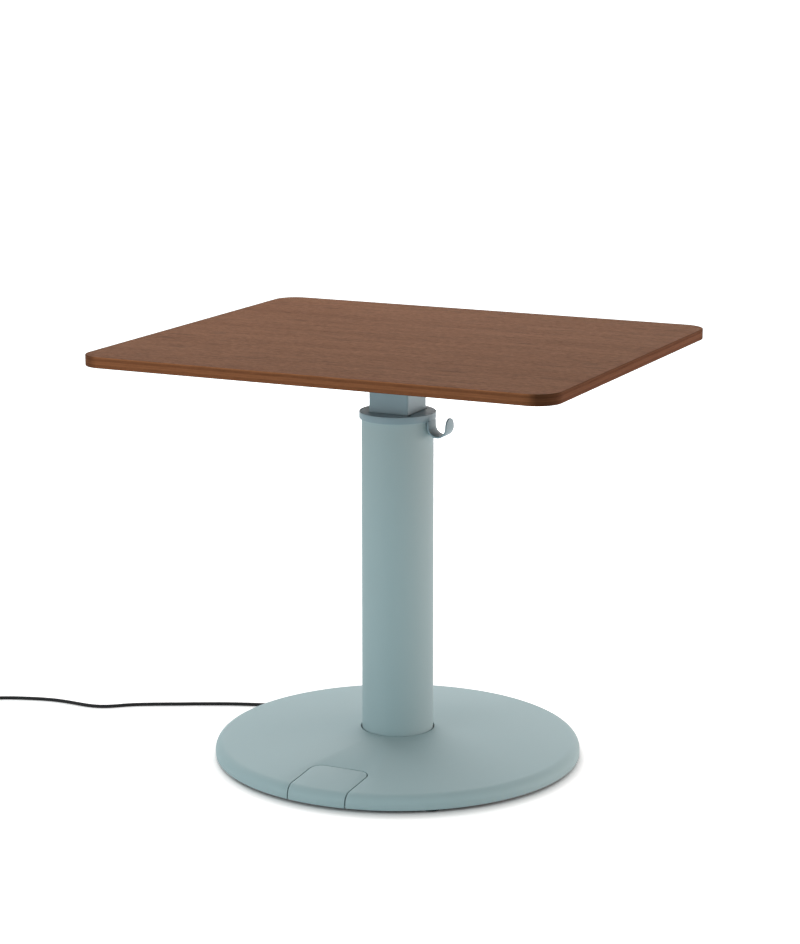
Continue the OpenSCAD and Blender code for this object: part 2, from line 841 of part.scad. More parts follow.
module nut_carrier() {
    color([0.6, 0.6, 0.62]) at_column() difference() {
        square_bar(inner_bore - 2 * fit_gap, carrier_z0, carrier_z1);
        disc(nut_r + fit_gap, carrier_z0 - 1, carrier_z1 + 1);
        around(4, nut_screw_circle, 45) disc(m4[0] + thread_gap, carrier_z0 - 1, carrier_z0 + 10.5);
        for (a = [0 : 90 : 270]) rotate(a)
            translate([inner_half, 0, carrier_z0 + carrier_h / 2]) rotate([0, -90, 0])
                cylinder(r = m5[0] + thread_gap, h = inner_half - nut_r - 1);
    }
}

module carrier_screws() {
    color([0.7, 0.7, 0.7]) at_column() for (a = [0 : 90 : 270]) rotate(a)
        translate([inner_half - fit_gap, 0, carrier_z0 + carrier_h / 2]) rotate([0, -90, 0])
            flat_screw(m5_flat, inner_half - nut_r - 3);
}

// Top and its spider

module top_screw_places() {
    around(4, plate_screw_r) children();
    for (sx = [-1, 1], sy = [-1, 1])
        translate([sx * arm_l * cos(arm_a), sy * arm_l * sin(arm_a), 0]) children();
}

module top_spider() {
    color([0.4, 0.47, 0.48]) at_column() difference() {
        union() {
            square_bar(hub_w, hub_z0, under_z);
            square_bar(spider_plate_w, under_z - spider_plate_t, under_z);
            for (a = [arm_a, 180 - arm_a, 180 + arm_a, -arm_a]) rotate(a) {
                translate([0, arm_w / 2, under_z]) rotate([90, 0, 0]) linear_extrude(arm_w)
                    polygon([[inner_half + arm_root, 0], [inner_half + arm_root, -arm_depth],
                             [arm_l - arm_flat, -spider_plate_t], [arm_l, -spider_plate_t], [arm_l, 0]]);
                translate([arm_l, 0, 0]) disc(arm_pad_r, under_z - spider_plate_t, under_z);
            }
        }
        square_bar(inner_w + 2 * fit_gap, hub_z0 - 1, under_z - spider_plate_t);
        for (a = [0 : 90 : 270]) rotate(a)
            translate([hub_w / 2 + 1, 0, hub_screw_z]) rotate([0, -90, 0])
                cylinder(r = m6[0] + thread_gap, h = 20);
        top_screw_places() disc(m6[0] + thread_gap, under_z - spider_plate_t - 1, under_z + 1);
    }
}

module hub_screws() {
    color([0.3, 0.3, 0.3]) at_column() for (a = [0 : 90 : 270]) rotate(a)
        translate([hub_w / 2, 0, hub_screw_z]) rotate([0, -90, 0])
            screw_up(m6, hub_w / 2 - inner_bore / 2);
}

module top_screws() {
    color([0.3, 0.3, 0.3]) at_column() top_screw_places()
        translate([0, 0, under_z - spider_plate_t]) screw_up(m6, top_screw_l);
}

module top_inserts() {
    color([0.72, 0.58, 0.3]) at_column() top_screw_places()
        ring(insert_r, m6[0] + thread_gap, under_z, under_z + insert_l);
}

module tabletop() {
    color([0.5, 0.37, 0.29]) difference() {
        translate([0, 0, under_z]) bevelled_slab(top_l, top_w, top_t, top_corner_r, top_bevel);
        at_column() top_screw_places() disc(insert_r + thread_gap, under_z - 1, under_z + insert_l + 0.5);
    }
}

// Foot pedal

module foot_pedal() {
    color([0.64, 0.72, 0.74]) at_column() difference() {
        union() {
            intersection() {
                cover_skin();
                linear_extrude(2 * base_h) pedal_outline(0);
            }
            intersection() {
                below_skin(cover_t - 1);
                union() {
                    for (side = [-1, 1]) {
                        box([side * pedal_rib_x - pedal_rib_w / 2, -pedal_rib_end, pedal_rib_z],
                            [side * pedal_rib_x + pedal_rib_w / 2, -pedal_y - 4, base_h]);
                        translate([side * pedal_rib_x, -pin_y, pin_z]) rotate([0, 90, 0])
                            cylinder(r = lug_r, h = pedal_rib_w, center = true);
                        for (y = spring_y) translate([side * spring_x, -y, 0]) disc(seat_r, seat_z, base_h);
                    }
                    translate([0, -magnet_y, 0]) disc(magnet_r + 2, magnet_z, base_h);
                }
            }
        }
        translate([0, -pin_y, pin_z]) rotate([0, 90, 0])
            cylinder(r = pin_d / 2 + run_gap, h = pedal_w, center = true);
        translate([0, -magnet_y, 0]) disc(magnet_r + thread_gap, magnet_z - 1, magnet_z + magnet_h);
    }
}

module pedal_magnet() {
    color([0.7, 0.7, 0.72]) at_column() translate([0, -magnet_y, 0])
        disc(magnet_r, magnet_z, magnet_z + magnet_h - thread_gap);
}

module pedal_pin() {
    half = pedal_rib_x + pedal_rib_w / 2 + 2;
    color([0.75, 0.75, 0.77]) at_column() translate([0, -pin_y, pin_z]) rotate([0, 90, 0])
        cylinder(r = pin_d / 2, h = 2 * half, center = true);
}

module pin_clips() {
    color([0.35, 0.35, 0.37]) at_column() for (side = [-1, 1])
        translate([side * (pedal_rib_x + pedal_rib_w / 2 + rest_gap + 0.5), -pin_y, pin_z]) rotate([0, 90, 0])
            difference() {
                cylinder(r = pin_d / 2 + 2, h = 1, center = true);
                cylinder(r = pin_d / 2 + thread_gap, h = 2, center = true);
            }
}

module pedal_bracket() {
    color([0.55, 0.56, 0.58]) at_column() difference() {
        union() {
            box([-post_x - 6, -pin_y - post_d / 2, plate_z1],
                [post_x + 6, -pin_y + post_d / 2, plate_z1 + bracket_t]);
            for (side = [-1, 1])
                box([side * (post_x - 8) - 2, -pin_y - post_d / 2, plate_z1],
                    [side * (post_x - 8) + 2, -pin_y + post_d / 2, pin_z + bracket_rise]);
        }
        translate([0, -pin_y, pin_z]) rotate([0, 90, 0])
            cylinder(r = pin_d / 2 + thread_gap, h = pedal_w, center = true);
        for (side = [-1, 1]) translate([side * post_x, -pin_y, plate_z1 + bracket_t]) rotate([180, 0, 0])
            flat_hole(m3_flat, bracket_t + 1);
    }
}

// Small screws of the control box's lid and of the pedal's bracket
module small_screws() {
    color([0.7, 0.7, 0.7]) at_column() {
        case_posts() translate([0, 0, case_z1 + lid_t - fit_gap]) rotate([180, 0, 0])
            flat_screw(m3_flat, lid_screw_l);
        for (side = [-1, 1]) translate([side * post_x, -pin_y, plate_z1 + bracket_t - fit_gap])
            rotate([180, 0, 0]) flat_screw(m3_flat, bracket_screw_l);
    }
}

// Spring: one unbroken wire
function spring_path(turns, r, z0, z1) = [for (i = [0 : 8 * turns])
    let (a = i * 45) [r * cos(a), r * sin(a), z0 + (z1 - z0) * i / (8 * turns)]];

module pedal_springs() {
    wire = spring_wire / 2;
    path = spring_path(spring_turns, spring_r, plate_z1 + wire + 0.05, seat_z - wire - 0.05);
    color([0.7, 0.7, 0.72]) at_column() for (side = [-1, 1], y = spring_y)
        translate([side * spring_x, -y, 0])
            swept_tube(path, wire, 6, [0, 1, 0], [0, 1, 0]);
}

module sensor_board() {
    color([0.1, 0.35, 0.2]) at_column() translate([0, -magnet_y, 0]) union() {
        for (side = [-1, 1]) translate([side * 16, 0, 0]) disc(2.5, plate_z1, plate_z1 + 3);
        box([-board_x, -10, plate_z1 + 3 - eps], [board_x, 10, plate_z1 + 3 + board_t]);
        box([-2, -2, plate_z1 + 3], [2, 2, plate_z1 + 4 + board_t]);
        box([-0.5 - board_x, -4, plate_z1 + 3], [7 - board_x, 4, plate_z1 + 6.5]);
    }
}

// Control box in the rear of the base

module case_posts() {
    for (side = [-1, 1], y = [2 * case_post_r, case_w - 2 * case_post_r])
        translate([side * (case_l / 2 - case_wall - case_post_r), case_y + y, 0]) children();
}

module control_case() {
    x1 = case_l / 2 + case_wall;
    color([0.13, 0.13, 0.14]) at_column() difference() {
        union() {
            difference() {
                box([-x1, case_y, case_z0], [x1, case_y + case_w, case_z1]);
                box([-case_l / 2, case_y + case_wall, case_z0 + case_wall],
                    [case_l / 2, case_y + case_w - case_wall, case_z1 + 1]);
            }
            for (side = [-1, 1]) {
                box([side * (x1 + ear_w / 2) - ear_w / 2, case_y + ear_y - 8, plate_z1],
                    [side * (x1 + ear_w / 2) + ear_w / 2, case_y + ear_y + 8, plate_z1 + 3]);
            }
            case_posts() disc(case_post_r, case_z0 + 1, case_z1);
        }
        for (side = [-1, 1]) {
            translate([side * (x1 + ear_w / 2), case_y + ear_y, 0])
                disc(m4[0] + thread_gap, plate_z1 - 1, plate_z1 + 4);
        }
        case_posts() disc(m3_flat[0] + thread_gap, case_z1 + lid_t - lid_screw_l - 1, case_z1 + 1);
        translate([-x1 - 1, case_y + relief_y, relief_z]) rotate([0, 90, 0])
            cylinder(r = relief_neck_r + thread_gap, h = case_wall + 2);
        translate([motor_lead_x, case_y - 1, plate_z1 + 4.2]) rotate([-90, 0, 0])
            cylinder(r = motor_lead_r + fit_gap, h = case_wall + 2);
        translate([-sensor_lead_x, case_y - 1, plate_z1 + sensor_lead_r + 0.2]) rotate([-90, 0, 0])
            cylinder(r = sensor_lead_r + fit_gap, h = case_wall + 2);
    }
}

module control_lid() {
    x1 = case_l / 2 + case_wall;
    color([0.16, 0.16, 0.17]) at_column() difference() {
        box([-x1, case_y, case_z1], [x1, case_y + case_w, case_z1 + lid_t]);
        case_posts() translate([0, 0, case_z1 + lid_t]) rotate([180, 0, 0]) flat_hole(m3_flat, lid_t + 1);
    }
}

module case_screws() {
    x1 = case_l / 2 + case_wall;
    color([0.7, 0.7, 0.7]) at_column() for (side = [-1, 1])
        translate([side * (x1 + ear_w / 2), case_y + ear_y, plate_z1 + 3]) rotate([180, 0, 0])
            screw_up(m4, 8);
}

module control_board() {
    top = board_z + board_t;
    color([0.1, 0.35, 0.2]) at_column() translate([0, case_y + case_w / 2, 0]) union() {
        for (sx = [-1, 1], sy = [-1, 1])
            translate([sx * 50, sy * (case_w / 2 - 14), 0]) disc(2.5, case_z0 + case_wall, board_z + eps);
        box([-case_l / 2 + 16, -case_w / 2 + 8, board_z], [case_l / 2 - 12, case_w / 2 - 8, top]);
        box([-8, -26, top - eps], [28, 8, case_z1 - 1.5]);
        box([36, -20, top - eps], [48, 20, case_z1 - 2]);
        for (i = [0 : 2]) translate([-44 + 15 * i, 18, 0]) disc(6, top - eps, case_z1 - 2);
        for (i = [0 : 2]) box([-50 + 14 * i, -30, top - eps], [-40 + 14 * i, -22, top + 8]);
        box([-44, -14, top - eps], [-20, 2, top + 2]);
    }
}

// Leads held inside the base

module motor_lead() {
    y0 = case_y + case_wall;
    z = plate_z1 + 4.2;
    path = smooth([[0, y0, z], [0, case_y - 10, z], [0, case_y - 22, z], [0, case_y - 35, z],
                   [0, case_y - 48, z], [0, case_y - 61, z + 0.3], [0, case_y - 71, z + 3],
                   [0, case_y - 79, z + 8], [0, motor_r + 3, flange_z1 + 8], [0, motor_r + 1, flange_z1 + 8]]);
    color([0.15, 0.15, 0.15]) at_column() swept_tube(path, motor_lead_r, 8, [0, -1, 0], [0, -1, 0]);
}

// Round the column, then straight to the foot pedal's board
module sensor_lead() {
    z = plate_z1 + sensor_lead_r + 0.2;
    ring_r = flange_r + 13;
    leave = ring_r * [cos(195), sin(195)];
    arrive = [-pedal_w / 2 - 7.5, -pin_y - 4];
    path = smooth(concat(
        [[-sensor_lead_x, case_y + case_wall, z], [-sensor_lead_x - 2, case_y - 11, z]],
        [for (a = [120 : 15 : 180]) [ring_r * cos(a), ring_r * sin(a), z]],
        [for (i = [0 : 6]) [each (leave + (arrive - leave) * i / 6), z]],
        [[-pedal_w / 2, -magnet_y + 10, z], [-pedal_w / 2 + 15, -magnet_y, z + 0.3],
         [-board_x - 0.6, -magnet_y, z + 2.8]]));
    color([0.15, 0.15, 0.15]) at_column() swept_tube(path, sensor_lead_r, 8, [0, -1, 0], [1, 0, 0]);
}

// Mains cord

module cord_relief() {
    x1 = case_l / 2 + case_wall;
    color([0.08, 0.08, 0.08]) at_column() translate([-x1, case_y + relief_y, relief_z]) rotate([0, -90, 0])
        rotate_extrude() polygon([[0, -case_wall - 2], [relief_flange_r, -case_wall - 2],
                                  [relief_flange_r, -case_wall], [relief_neck_r, -case_wall],
                                  [relief_neck_r, 0], [relief_flange_r, 0], [relief_flange_r, 2],
                                  [boot_r, 3], [cord_r + 1, relief_l], [0, relief_l]]);
}

// Coil: place on the spiral after so many turns
function coil_r_at(turn) = coil_r - coil_step * (coil_mid - abs(turn - coil_mid));
function climb_at(turn) = max(0, min(1, (turn - coil_mid) / 0.5 + 0.5));
function coil_at(turn) =
    let (a = coil_a0 + 360 * turn, r = coil_r_at(turn))
    [coil_c[0] + r * cos(a), coil_c[1] + r * sin(a), coil_z + coil_layer * climb_at(turn)];
coil_in_dir = [cos(coil_a0 + 90), sin(coil_a0 + 90), 0];
coil_steps = ceil(coil_turns * coil_rings);
coil_in = coil_at(0) - cord_d * coil_in_dir;
coil_out = coil_at(coil_turns) + cord_d * tail_dir;
coil_path = concat([coil_in], [for (i = [0 : coil_steps]) coil_at(coil_turns * i / coil_steps)], [coil_out]);
coil_gap = min([for (i = [0 : len(coil_path) - 1], j = [i + 8 : 1 : len(coil_path) - 1])
    norm(coil_path[i] - coil_path[j])]) - cord_d;
echo(coil_least_gap = coil_gap);

module cord_coil() {
    color([0.06, 0.06, 0.06]) swept_tube(coil_path, cord_r, 6, coil_in_dir, tail_dir);
}

function along(points) = [for (i = [1 : len(points) - 1]) norm(points[i] - points[i - 1])];
function total(v, i = 0) = i == len(v) ? 0 : v[i] + total(v, i + 1);

plug_at = coil_out + tail_l * tail_dir + [0, 0, plug_z - coil_out[2]];
cord_path = smooth(concat([cord_exit], cord_route, [coil_in]));
tail_path = smooth([for (s = [[0, 0], [0.24, 0.03], [0.5, 0.42], [0.76, 0.95], [1, 1]])
    coil_out + s[0] * tail_l * tail_dir + [0, 0, s[1] * (plug_z - coil_out[2])]]);
echo(cord_length = total(along(cord_path)) + total(along(coil_path)) + total(along(tail_path)));

module mains_cord() {
    color([0.06, 0.06, 0.06]) {
        swept_tube(cord_path, cord_r, 8, [-1, 0, 0], coil_in_dir);
        swept_tube(tail_path, cord_r, 8, tail_dir, tail_dir);
    }
}

// Tie: a band round the coil's turns
module cord_tie() {
    turn = (tie_a - coil_a0) / 360;
    inner = coil_r_at(turn + floor(coil_mid)) - cord_r - tie_side_gap;
    outer = coil_r_at(turn) + cord_r + tie_side_gap;
    top = coil_z + coil_layer + cord_r * sin(60) + tie_gap;
    color([0.1, 0.1, 0.1]) translate([coil_c[0], coil_c[1], 0]) rotate(tie_a) difference() {
        box([inner - tie_t, -tie_w / 2, 0], [outer + tie_t, tie_w / 2, top + tie_t]);
        box([inner, -tie_w, tie_t], [outer, tie_w, top]);
    }
}

// Mains plug, lying on its side
module at_plug() {
    translate(plug_at) rotate([0, 90, tail_a]) children();
}

module plug_body() {
    color([0.08, 0.08, 0.08]) at_plug() difference() {
        rotate_extrude() polygon([[0, 0], [cord_r + 0.6, 0], [boot_r, boot_l - 4], [boot_r + 2, boot_l],
                                  [plug_d / 2 - 4, boot_l + 5], [plug_d / 2 - 1, boot_l + 9],
                                  [plug_d / 2, boot_l + 14], [plug_d / 2, boot_l + plug_l - 1],
                                  [plug_d / 2 - 1, boot_l + plug_l], [0, boot_l + plug_l]]);
        for (side = [-1, 1]) translate([0, side * plug_pin_gap / 2, 0])
            disc(plug_root_r + thread_gap, boot_l + plug_l - plug_root_l, boot_l + plug_l + 1);
        for (side = [-1, 1]) earth_clip(side, fit_gap, plug_d);
    }
}

// Strip in a groove along the plug's side
module earth_clip(side, grow, reach) {
    x = side * (earth_clip_x + reach / 2);
    translate([x, 0, boot_l + plug_l - 1 - earth_clip_l / 2])
        cube([reach + 2 * grow, earth_clip_w + 2 * grow, earth_clip_l + 2 * grow], center = true);
}

module plug_earth_clips() {
    color([0.8, 0.78, 0.7]) at_plug() for (side = [-1, 1]) earth_clip(side, 0, earth_clip_t);
}

module plug_pins() {
    color([0.8, 0.78, 0.7]) at_plug() for (side = [-1, 1]) translate([0, side * plug_pin_gap / 2, 0]) {
        disc(plug_root_r, boot_l + plug_l - plug_root_l + fit_gap, boot_l + plug_l + eps);
        disc(plug_pin_r, boot_l + plug_l, boot_l + plug_l + plug_pin_l);
    }
}

base_cover();
ballast_plate();
cover_screws();
glides();
glide_screws();
foot_flange();
foot_bolts();
column_tube();
collar();
upper_guide();
upper_guide_screws();
bag_hook();
stop_buffers();
drive_motor();
motor_gearbox();
motor_bolts();
bearing_housing();
housing_screws();
bearing_outer_ring();
bearing_balls();
bearing_retainer();
control_case();
control_lid();
control_board();
case_screws();
small_screws();
motor_lead();
sensor_lead();
sensor_board();
pedal_bracket();
pedal_pin();
pin_clips();
pedal_springs();
cord_relief();
mains_cord();
cord_coil();
cord_tie();
plug_body();
plug_pins();
plug_earth_clips();
lead_screw();
gearbox_shaft();
drive_pin();
bearing_inner_ring();
journal_clip();
screw_stop();
inner_tube();
lower_guide();
lower_guide_screws();
spindle_nut();
nut_screws();
nut_carrier();
carrier_screws();
top_spider();
hub_screws();
top_screws();
top_inserts();
tabletop();
foot_pedal();
pedal_magnet();
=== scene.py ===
import math

import bmesh
import bpy
from mathutils import Matrix, Vector


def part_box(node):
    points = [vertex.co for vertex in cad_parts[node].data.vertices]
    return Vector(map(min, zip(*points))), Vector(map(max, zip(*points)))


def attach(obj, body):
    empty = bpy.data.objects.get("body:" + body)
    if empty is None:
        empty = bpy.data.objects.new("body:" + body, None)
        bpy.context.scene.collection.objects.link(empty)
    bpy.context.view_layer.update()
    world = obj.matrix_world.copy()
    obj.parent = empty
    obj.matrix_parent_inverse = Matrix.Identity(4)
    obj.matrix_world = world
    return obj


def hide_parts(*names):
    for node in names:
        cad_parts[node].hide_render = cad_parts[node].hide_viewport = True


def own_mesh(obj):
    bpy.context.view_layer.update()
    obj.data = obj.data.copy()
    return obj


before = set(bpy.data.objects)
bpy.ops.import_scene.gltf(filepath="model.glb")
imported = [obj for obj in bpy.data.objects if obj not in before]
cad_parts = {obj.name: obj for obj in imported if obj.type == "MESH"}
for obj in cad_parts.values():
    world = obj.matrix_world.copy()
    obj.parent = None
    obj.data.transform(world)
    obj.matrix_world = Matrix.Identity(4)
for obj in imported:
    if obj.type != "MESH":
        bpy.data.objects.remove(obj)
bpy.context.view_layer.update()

bl_info = {
    "name": "Pedestal standing desk",
    "version": (1, 0, 0),
    "blender": (4, 5, 0),
    "location": "3D View > Sidebar > Desk",
    "description": "Dresses the packed desk with its worktop, coated metal, cord, finishes and stage",
    "category": "Object",
}

MM = 0.001
COLUMN_Y_MM = -21
COLUMN_Y = COLUMN_Y_MM * MM


# Sizes and colours

def paint(red, green, blue):
    """An 8-bit screen colour as the linear colour that a shader takes."""
    def linear(value):
        value /= 255
        return value / 12.92 if value <= 0.04045 else ((value + 0.055) / 1.055) ** 2.4
    return (linear(red), linear(green), linear(blue))


def length(name, description, default):
    return bpy.props.FloatProperty(
        name=name, description=description, default=default, min=0.0, precision=4, unit="LENGTH")


def colour(name, description, default):
    return bpy.props.FloatVectorProperty(
        name=name, description=description, default=paint(*default), min=0.0, max=1.0, size=3,
        subtype="COLOR")


class DeskSizes(bpy.types.PropertyGroup):
    corner: length("Worktop corner", "Radius of the worktop's corners", 0.040)
    arris: length("Worktop arris", "Rounding of the worktop's upper and lower edges", 0.0014)
    ply: length("Ply", "Thickness of one ply of the worktop", 0.0030)
    sheet_edge: length("Sheet edge", "Rounding of the hook's cut edges", 0.0008)
    coat_edge: length("Coated edge", "Rounding of the coated parts' cut edges", 0.0005)
    moulded_edge: length("Moulded edge", "Rounding of the moulded parts' edges", 0.0004)
    cord: length("Cord diameter", "Diameter of the mains cord", 0.0062)
    motor_lead: length("Motor lead", "Diameter of the lead to the motor", 0.0050)
    sensor_lead: length("Pedal lead", "Diameter of the lead to the foot pedal's sensor", 0.0040)
    spring_wire: length("Spring wire", "Diameter of the pedal springs' wire", 0.0010)


class DeskColours(bpy.types.PropertyGroup):
    coat: colour("Coating", "Matt powder coat of the base, column and pedal", (178, 193, 196))
    dark_coat: colour("Darker coating", "Coat of the tube, its arms, collar and hook", (145, 164, 173))
    veneer: colour("Veneer", "Stained face of the worktop", (151, 99, 70))
    veneer_dark: colour("Veneer grain", "Darker grain of the worktop's face", (109, 66, 45))
    edge: colour("Worktop edge", "Stained plies of the worktop's edge", (166, 102, 68))
    edge_dark: colour("Worktop end grain", "Darker plies of the worktop's edge", (114, 66, 41))
    cord: colour("Cord jacket", "Jacket of the leads, the plug and the strain relief", (15, 15, 16))
    glide: colour("Glides", "Moulded glides under the base", (34, 41, 44))


def sizes():
    return bpy.context.scene.desk_sizes


def colours():
    return bpy.context.scene.desk_colours


# Shader trees

def fill(tree, node, values):
    """Sets a node's sockets, or links other nodes' sockets to them."""
    for socket, value in values.items():
        if isinstance(value, bpy.types.NodeSocket):
            tree.links.new(value, node.inputs[socket])
        else:
            node.inputs[socket].default_value = value


def add(tree, kind, values=None, **settings):
    """Adds a node, makes its settings, and sets or links its sockets."""
    made = tree.nodes.new("ShaderNode" + kind)
    for name, value in settings.items():
        setattr(made, name, value)
    fill(tree, made, values or {})
    return made


def sums(tree, operation, first, second=0.0):
    return add(tree, "Math", {0: first, 1: second}, operation=operation).outputs[0]


def plus(tree, first, second):
    return sums(tree, "ADD", first, second)


def minus(tree, first, second):
    return sums(tree, "SUBTRACT", first, second)


def times(tree, first, second):
    return sums(tree, "MULTIPLY", first, second)


def weighed(tree, *parts):
    """The sum of some values, each times its weight."""
    total, *others = [times(tree, value, weight) for value, weight in parts]
    for other in others:
        total = plus(tree, total, other)
    return total


def mixed(tree, factor, first, second, mode="MIX"):
    made = add(tree, "Mix", {0: factor, 6: first, 7: second}, data_type="RGBA", blend_type=mode)
    return made.outputs[2]


def ranged(tree, value, low, high, to_low=0.0, to_high=1.0):
    return add(tree, "MapRange", {0: value, 1: low, 2: high, 3: to_low, 4: to_high}).outputs[0]


def on_piece(tree):
    """The place on the piece, which its patterns follow."""
    return add(tree, "TexCoord").outputs["Object"]


def noise(tree, place, scale, detail=2.0, roughness=0.5, stretch=None):
    """Noise over the piece; stretch scales the axes before it."""
    if stretch is not None:
        place = add(tree, "Mapping", {"Vector": place, "Scale": stretch}).outputs[0]
    return add(tree, "TexNoise", {"Vector": place, "Scale": scale, "Detail": detail,
                                  "Roughness": roughness}).outputs[0]


def group(name, wants):
    """A node group with inputs, (name, kind, default), that puts out a colour, a roughness and a height."""
    tree = bpy.data.node_groups.new(name, "ShaderNodeTree")
    for label, kind, default in wants:
        socket = tree.interface.new_socket(label, in_out="INPUT", socket_type="NodeSocket" + kind)
        socket.default_value = default
    for label, kind in (("Colour", "Color"), ("Roughness", "Float"), ("Height", "Float")):
        tree.interface.new_socket(label, in_out="OUTPUT", socket_type="NodeSocket" + kind)
    return tree, tree.nodes.new("NodeGroupInput").outputs, tree.nodes.new("NodeGroupOutput")


def put_out(tree, end, shade, roughness, height):
    """Ends a node group with what it puts out."""
    fill(tree, end, {"Colour": shade, "Roughness": roughness, "Height": height})
    return tree


def placed(tree, look, values):
    """Places a shared group in a material."""
    made = tree.nodes.new("ShaderNodeGroup")
    made.node_tree = SHARED[look]()
    fill(tree, made, values)
    return made.outputs


def once(make):
    """The group that make builds, built only the first time."""
    name = make.__name__.replace("_", " ").capitalize()
    def find():
        return bpy.data.node_groups.get(name) or make(name)
    return find


@once
def fine_grain(name):
    """Even finish with a fine grain: powder coat, moulded plastic, rubber or a cord's jacket."""
    tree, wants, end = group(name, [
        ("Colour", "Color", (0.5, 0.5, 0.5, 1.0)), ("Shade", "Float", 0.03), ("Grain size", "Float", 0.001),
        ("Roughness", "Float", 0.5), ("Unevenness", "Float", 0.05)])
    place = on_piece(tree)
    grain = noise(tree, place, sums(tree, "DIVIDE", 1.0, wants["Grain size"]), 3.0, 0.6)
    drift = noise(tree, place, 9.0, 2.0)
    speck = minus(tree, weighed(tree, (drift, 0.65), (grain, 0.35)), 0.5)
    tone = plus(tree, 1.0, times(tree, speck, times(tree, wants["Shade"], 2.0)))
    roughness = plus(tree, wants["Roughness"], times(tree, speck, wants["Unevenness"]))
    return put_out(tree, end, mixed(tree, 1.0, wants["Colour"], tone, "MULTIPLY"), roughness, grain)


@once
def worked_metal(name):
    """Bare metal: drawn or turned lines along one direction, with a slow change of tone."""
    tree, wants, end = group(name, [
        ("Colour", "Color", (0.5, 0.5, 0.5, 1.0)), ("Lines", "Vector", (300.0, 300.0, 2500.0)),
        ("Shade", "Float", 0.15), ("Roughness", "Float", 0.35)])
    place = on_piece(tree)
    lines = noise(tree, place, 1.0, 3.0, stretch=wants["Lines"])
    drift = noise(tree, place, 60.0, 3.0)
    tone = ranged(tree, times(tree, plus(tree, lines, drift), 0.5), 0.3, 0.7,
                  minus(tree, 1.0, wants["Shade"]), 1.0)
    roughness = plus(tree, wants["Roughness"], ranged(tree, drift, 0.3, 0.7, -0.06, 0.08))
    return put_out(tree, end, mixed(tree, 1.0, wants["Colour"], tone, "MULTIPLY"), roughness, lines)


@once
def veneer_grain(name):
    """Stained veneer: slow bands, fine streaks, flecks, dark dashes and open pores, all along X."""
    tree, wants, end = group(name, [
        ("Colour", "Color", (0.3, 0.2, 0.1, 1.0)), ("Grain", "Color", (0.2, 0.1, 0.05, 1.0)),
        ("Pores", "Float", 0.30), ("Sway", "Float", 0.004)])
    place = on_piece(tree)
    sway = times(tree, minus(tree, noise(tree, place, 3.0, 2.0), 0.5), wants["Sway"])
    shift = add(tree, "CombineXYZ", {"Y": sway}).outputs[0]
    moved = add(tree, "VectorMath", {0: place, 1: shift}, operation="ADD").outputs[0]
    bands = noise(tree, moved, 1.0, 3.0, 0.55, (1.6, 26.0, 26.0))
    streaks = noise(tree, moved, 1.0, 3.0, 0.6, (14.0, 210.0, 210.0))
    flecks = noise(tree, moved, 1.0, 3.0, 0.7, (95.0, 300.0, 300.0))
    dashes = ranged(tree, noise(tree, moved, 1.0, 1.0, 0.5, (18.0, 165.0, 165.0)), 0.56, 0.66)
    patches = noise(tree, moved, 1.0, 2.0, 0.5, (5.0, 60.0, 60.0))
    pores = ranged(tree, noise(tree, moved, 1.0, 2.0, 0.5, (60.0, 520.0, 520.0)), 0.52, 0.68)
    gather = ranged(tree, patches, 0.38, 0.62, 0.25, 1.0)
    depth = weighed(tree, (ranged(tree, bands, 0.3, 0.7), 0.25), (ranged(tree, streaks, 0.30, 0.70), 0.30),
                    (ranged(tree, flecks, 0.40, 0.60), 0.45))
    wood = mixed(tree, depth, wants["Grain"], wants["Colour"])
    dark = times(tree, times(tree, sums(tree, "MAXIMUM", pores, dashes), gather), wants["Pores"])
    return put_out(tree, end, mixed(tree, 1.0, wood, minus(tree, 1.0, dark), "MULTIPLY"),
                   ranged(tree, depth, 0.2, 0.8, 0.68, 0.60), minus(tree, times(tree, streaks, 0.4), pores))


# Where the worktop's edge darkens, in metres from the middle: its two ends along X, and its right corners,
# whose darkening is painted shade
END_GRAIN = (0.362, 0.376)
CORNER_X = (0.352, 0.375)
CORNER_Y = (0.302, 0.325)


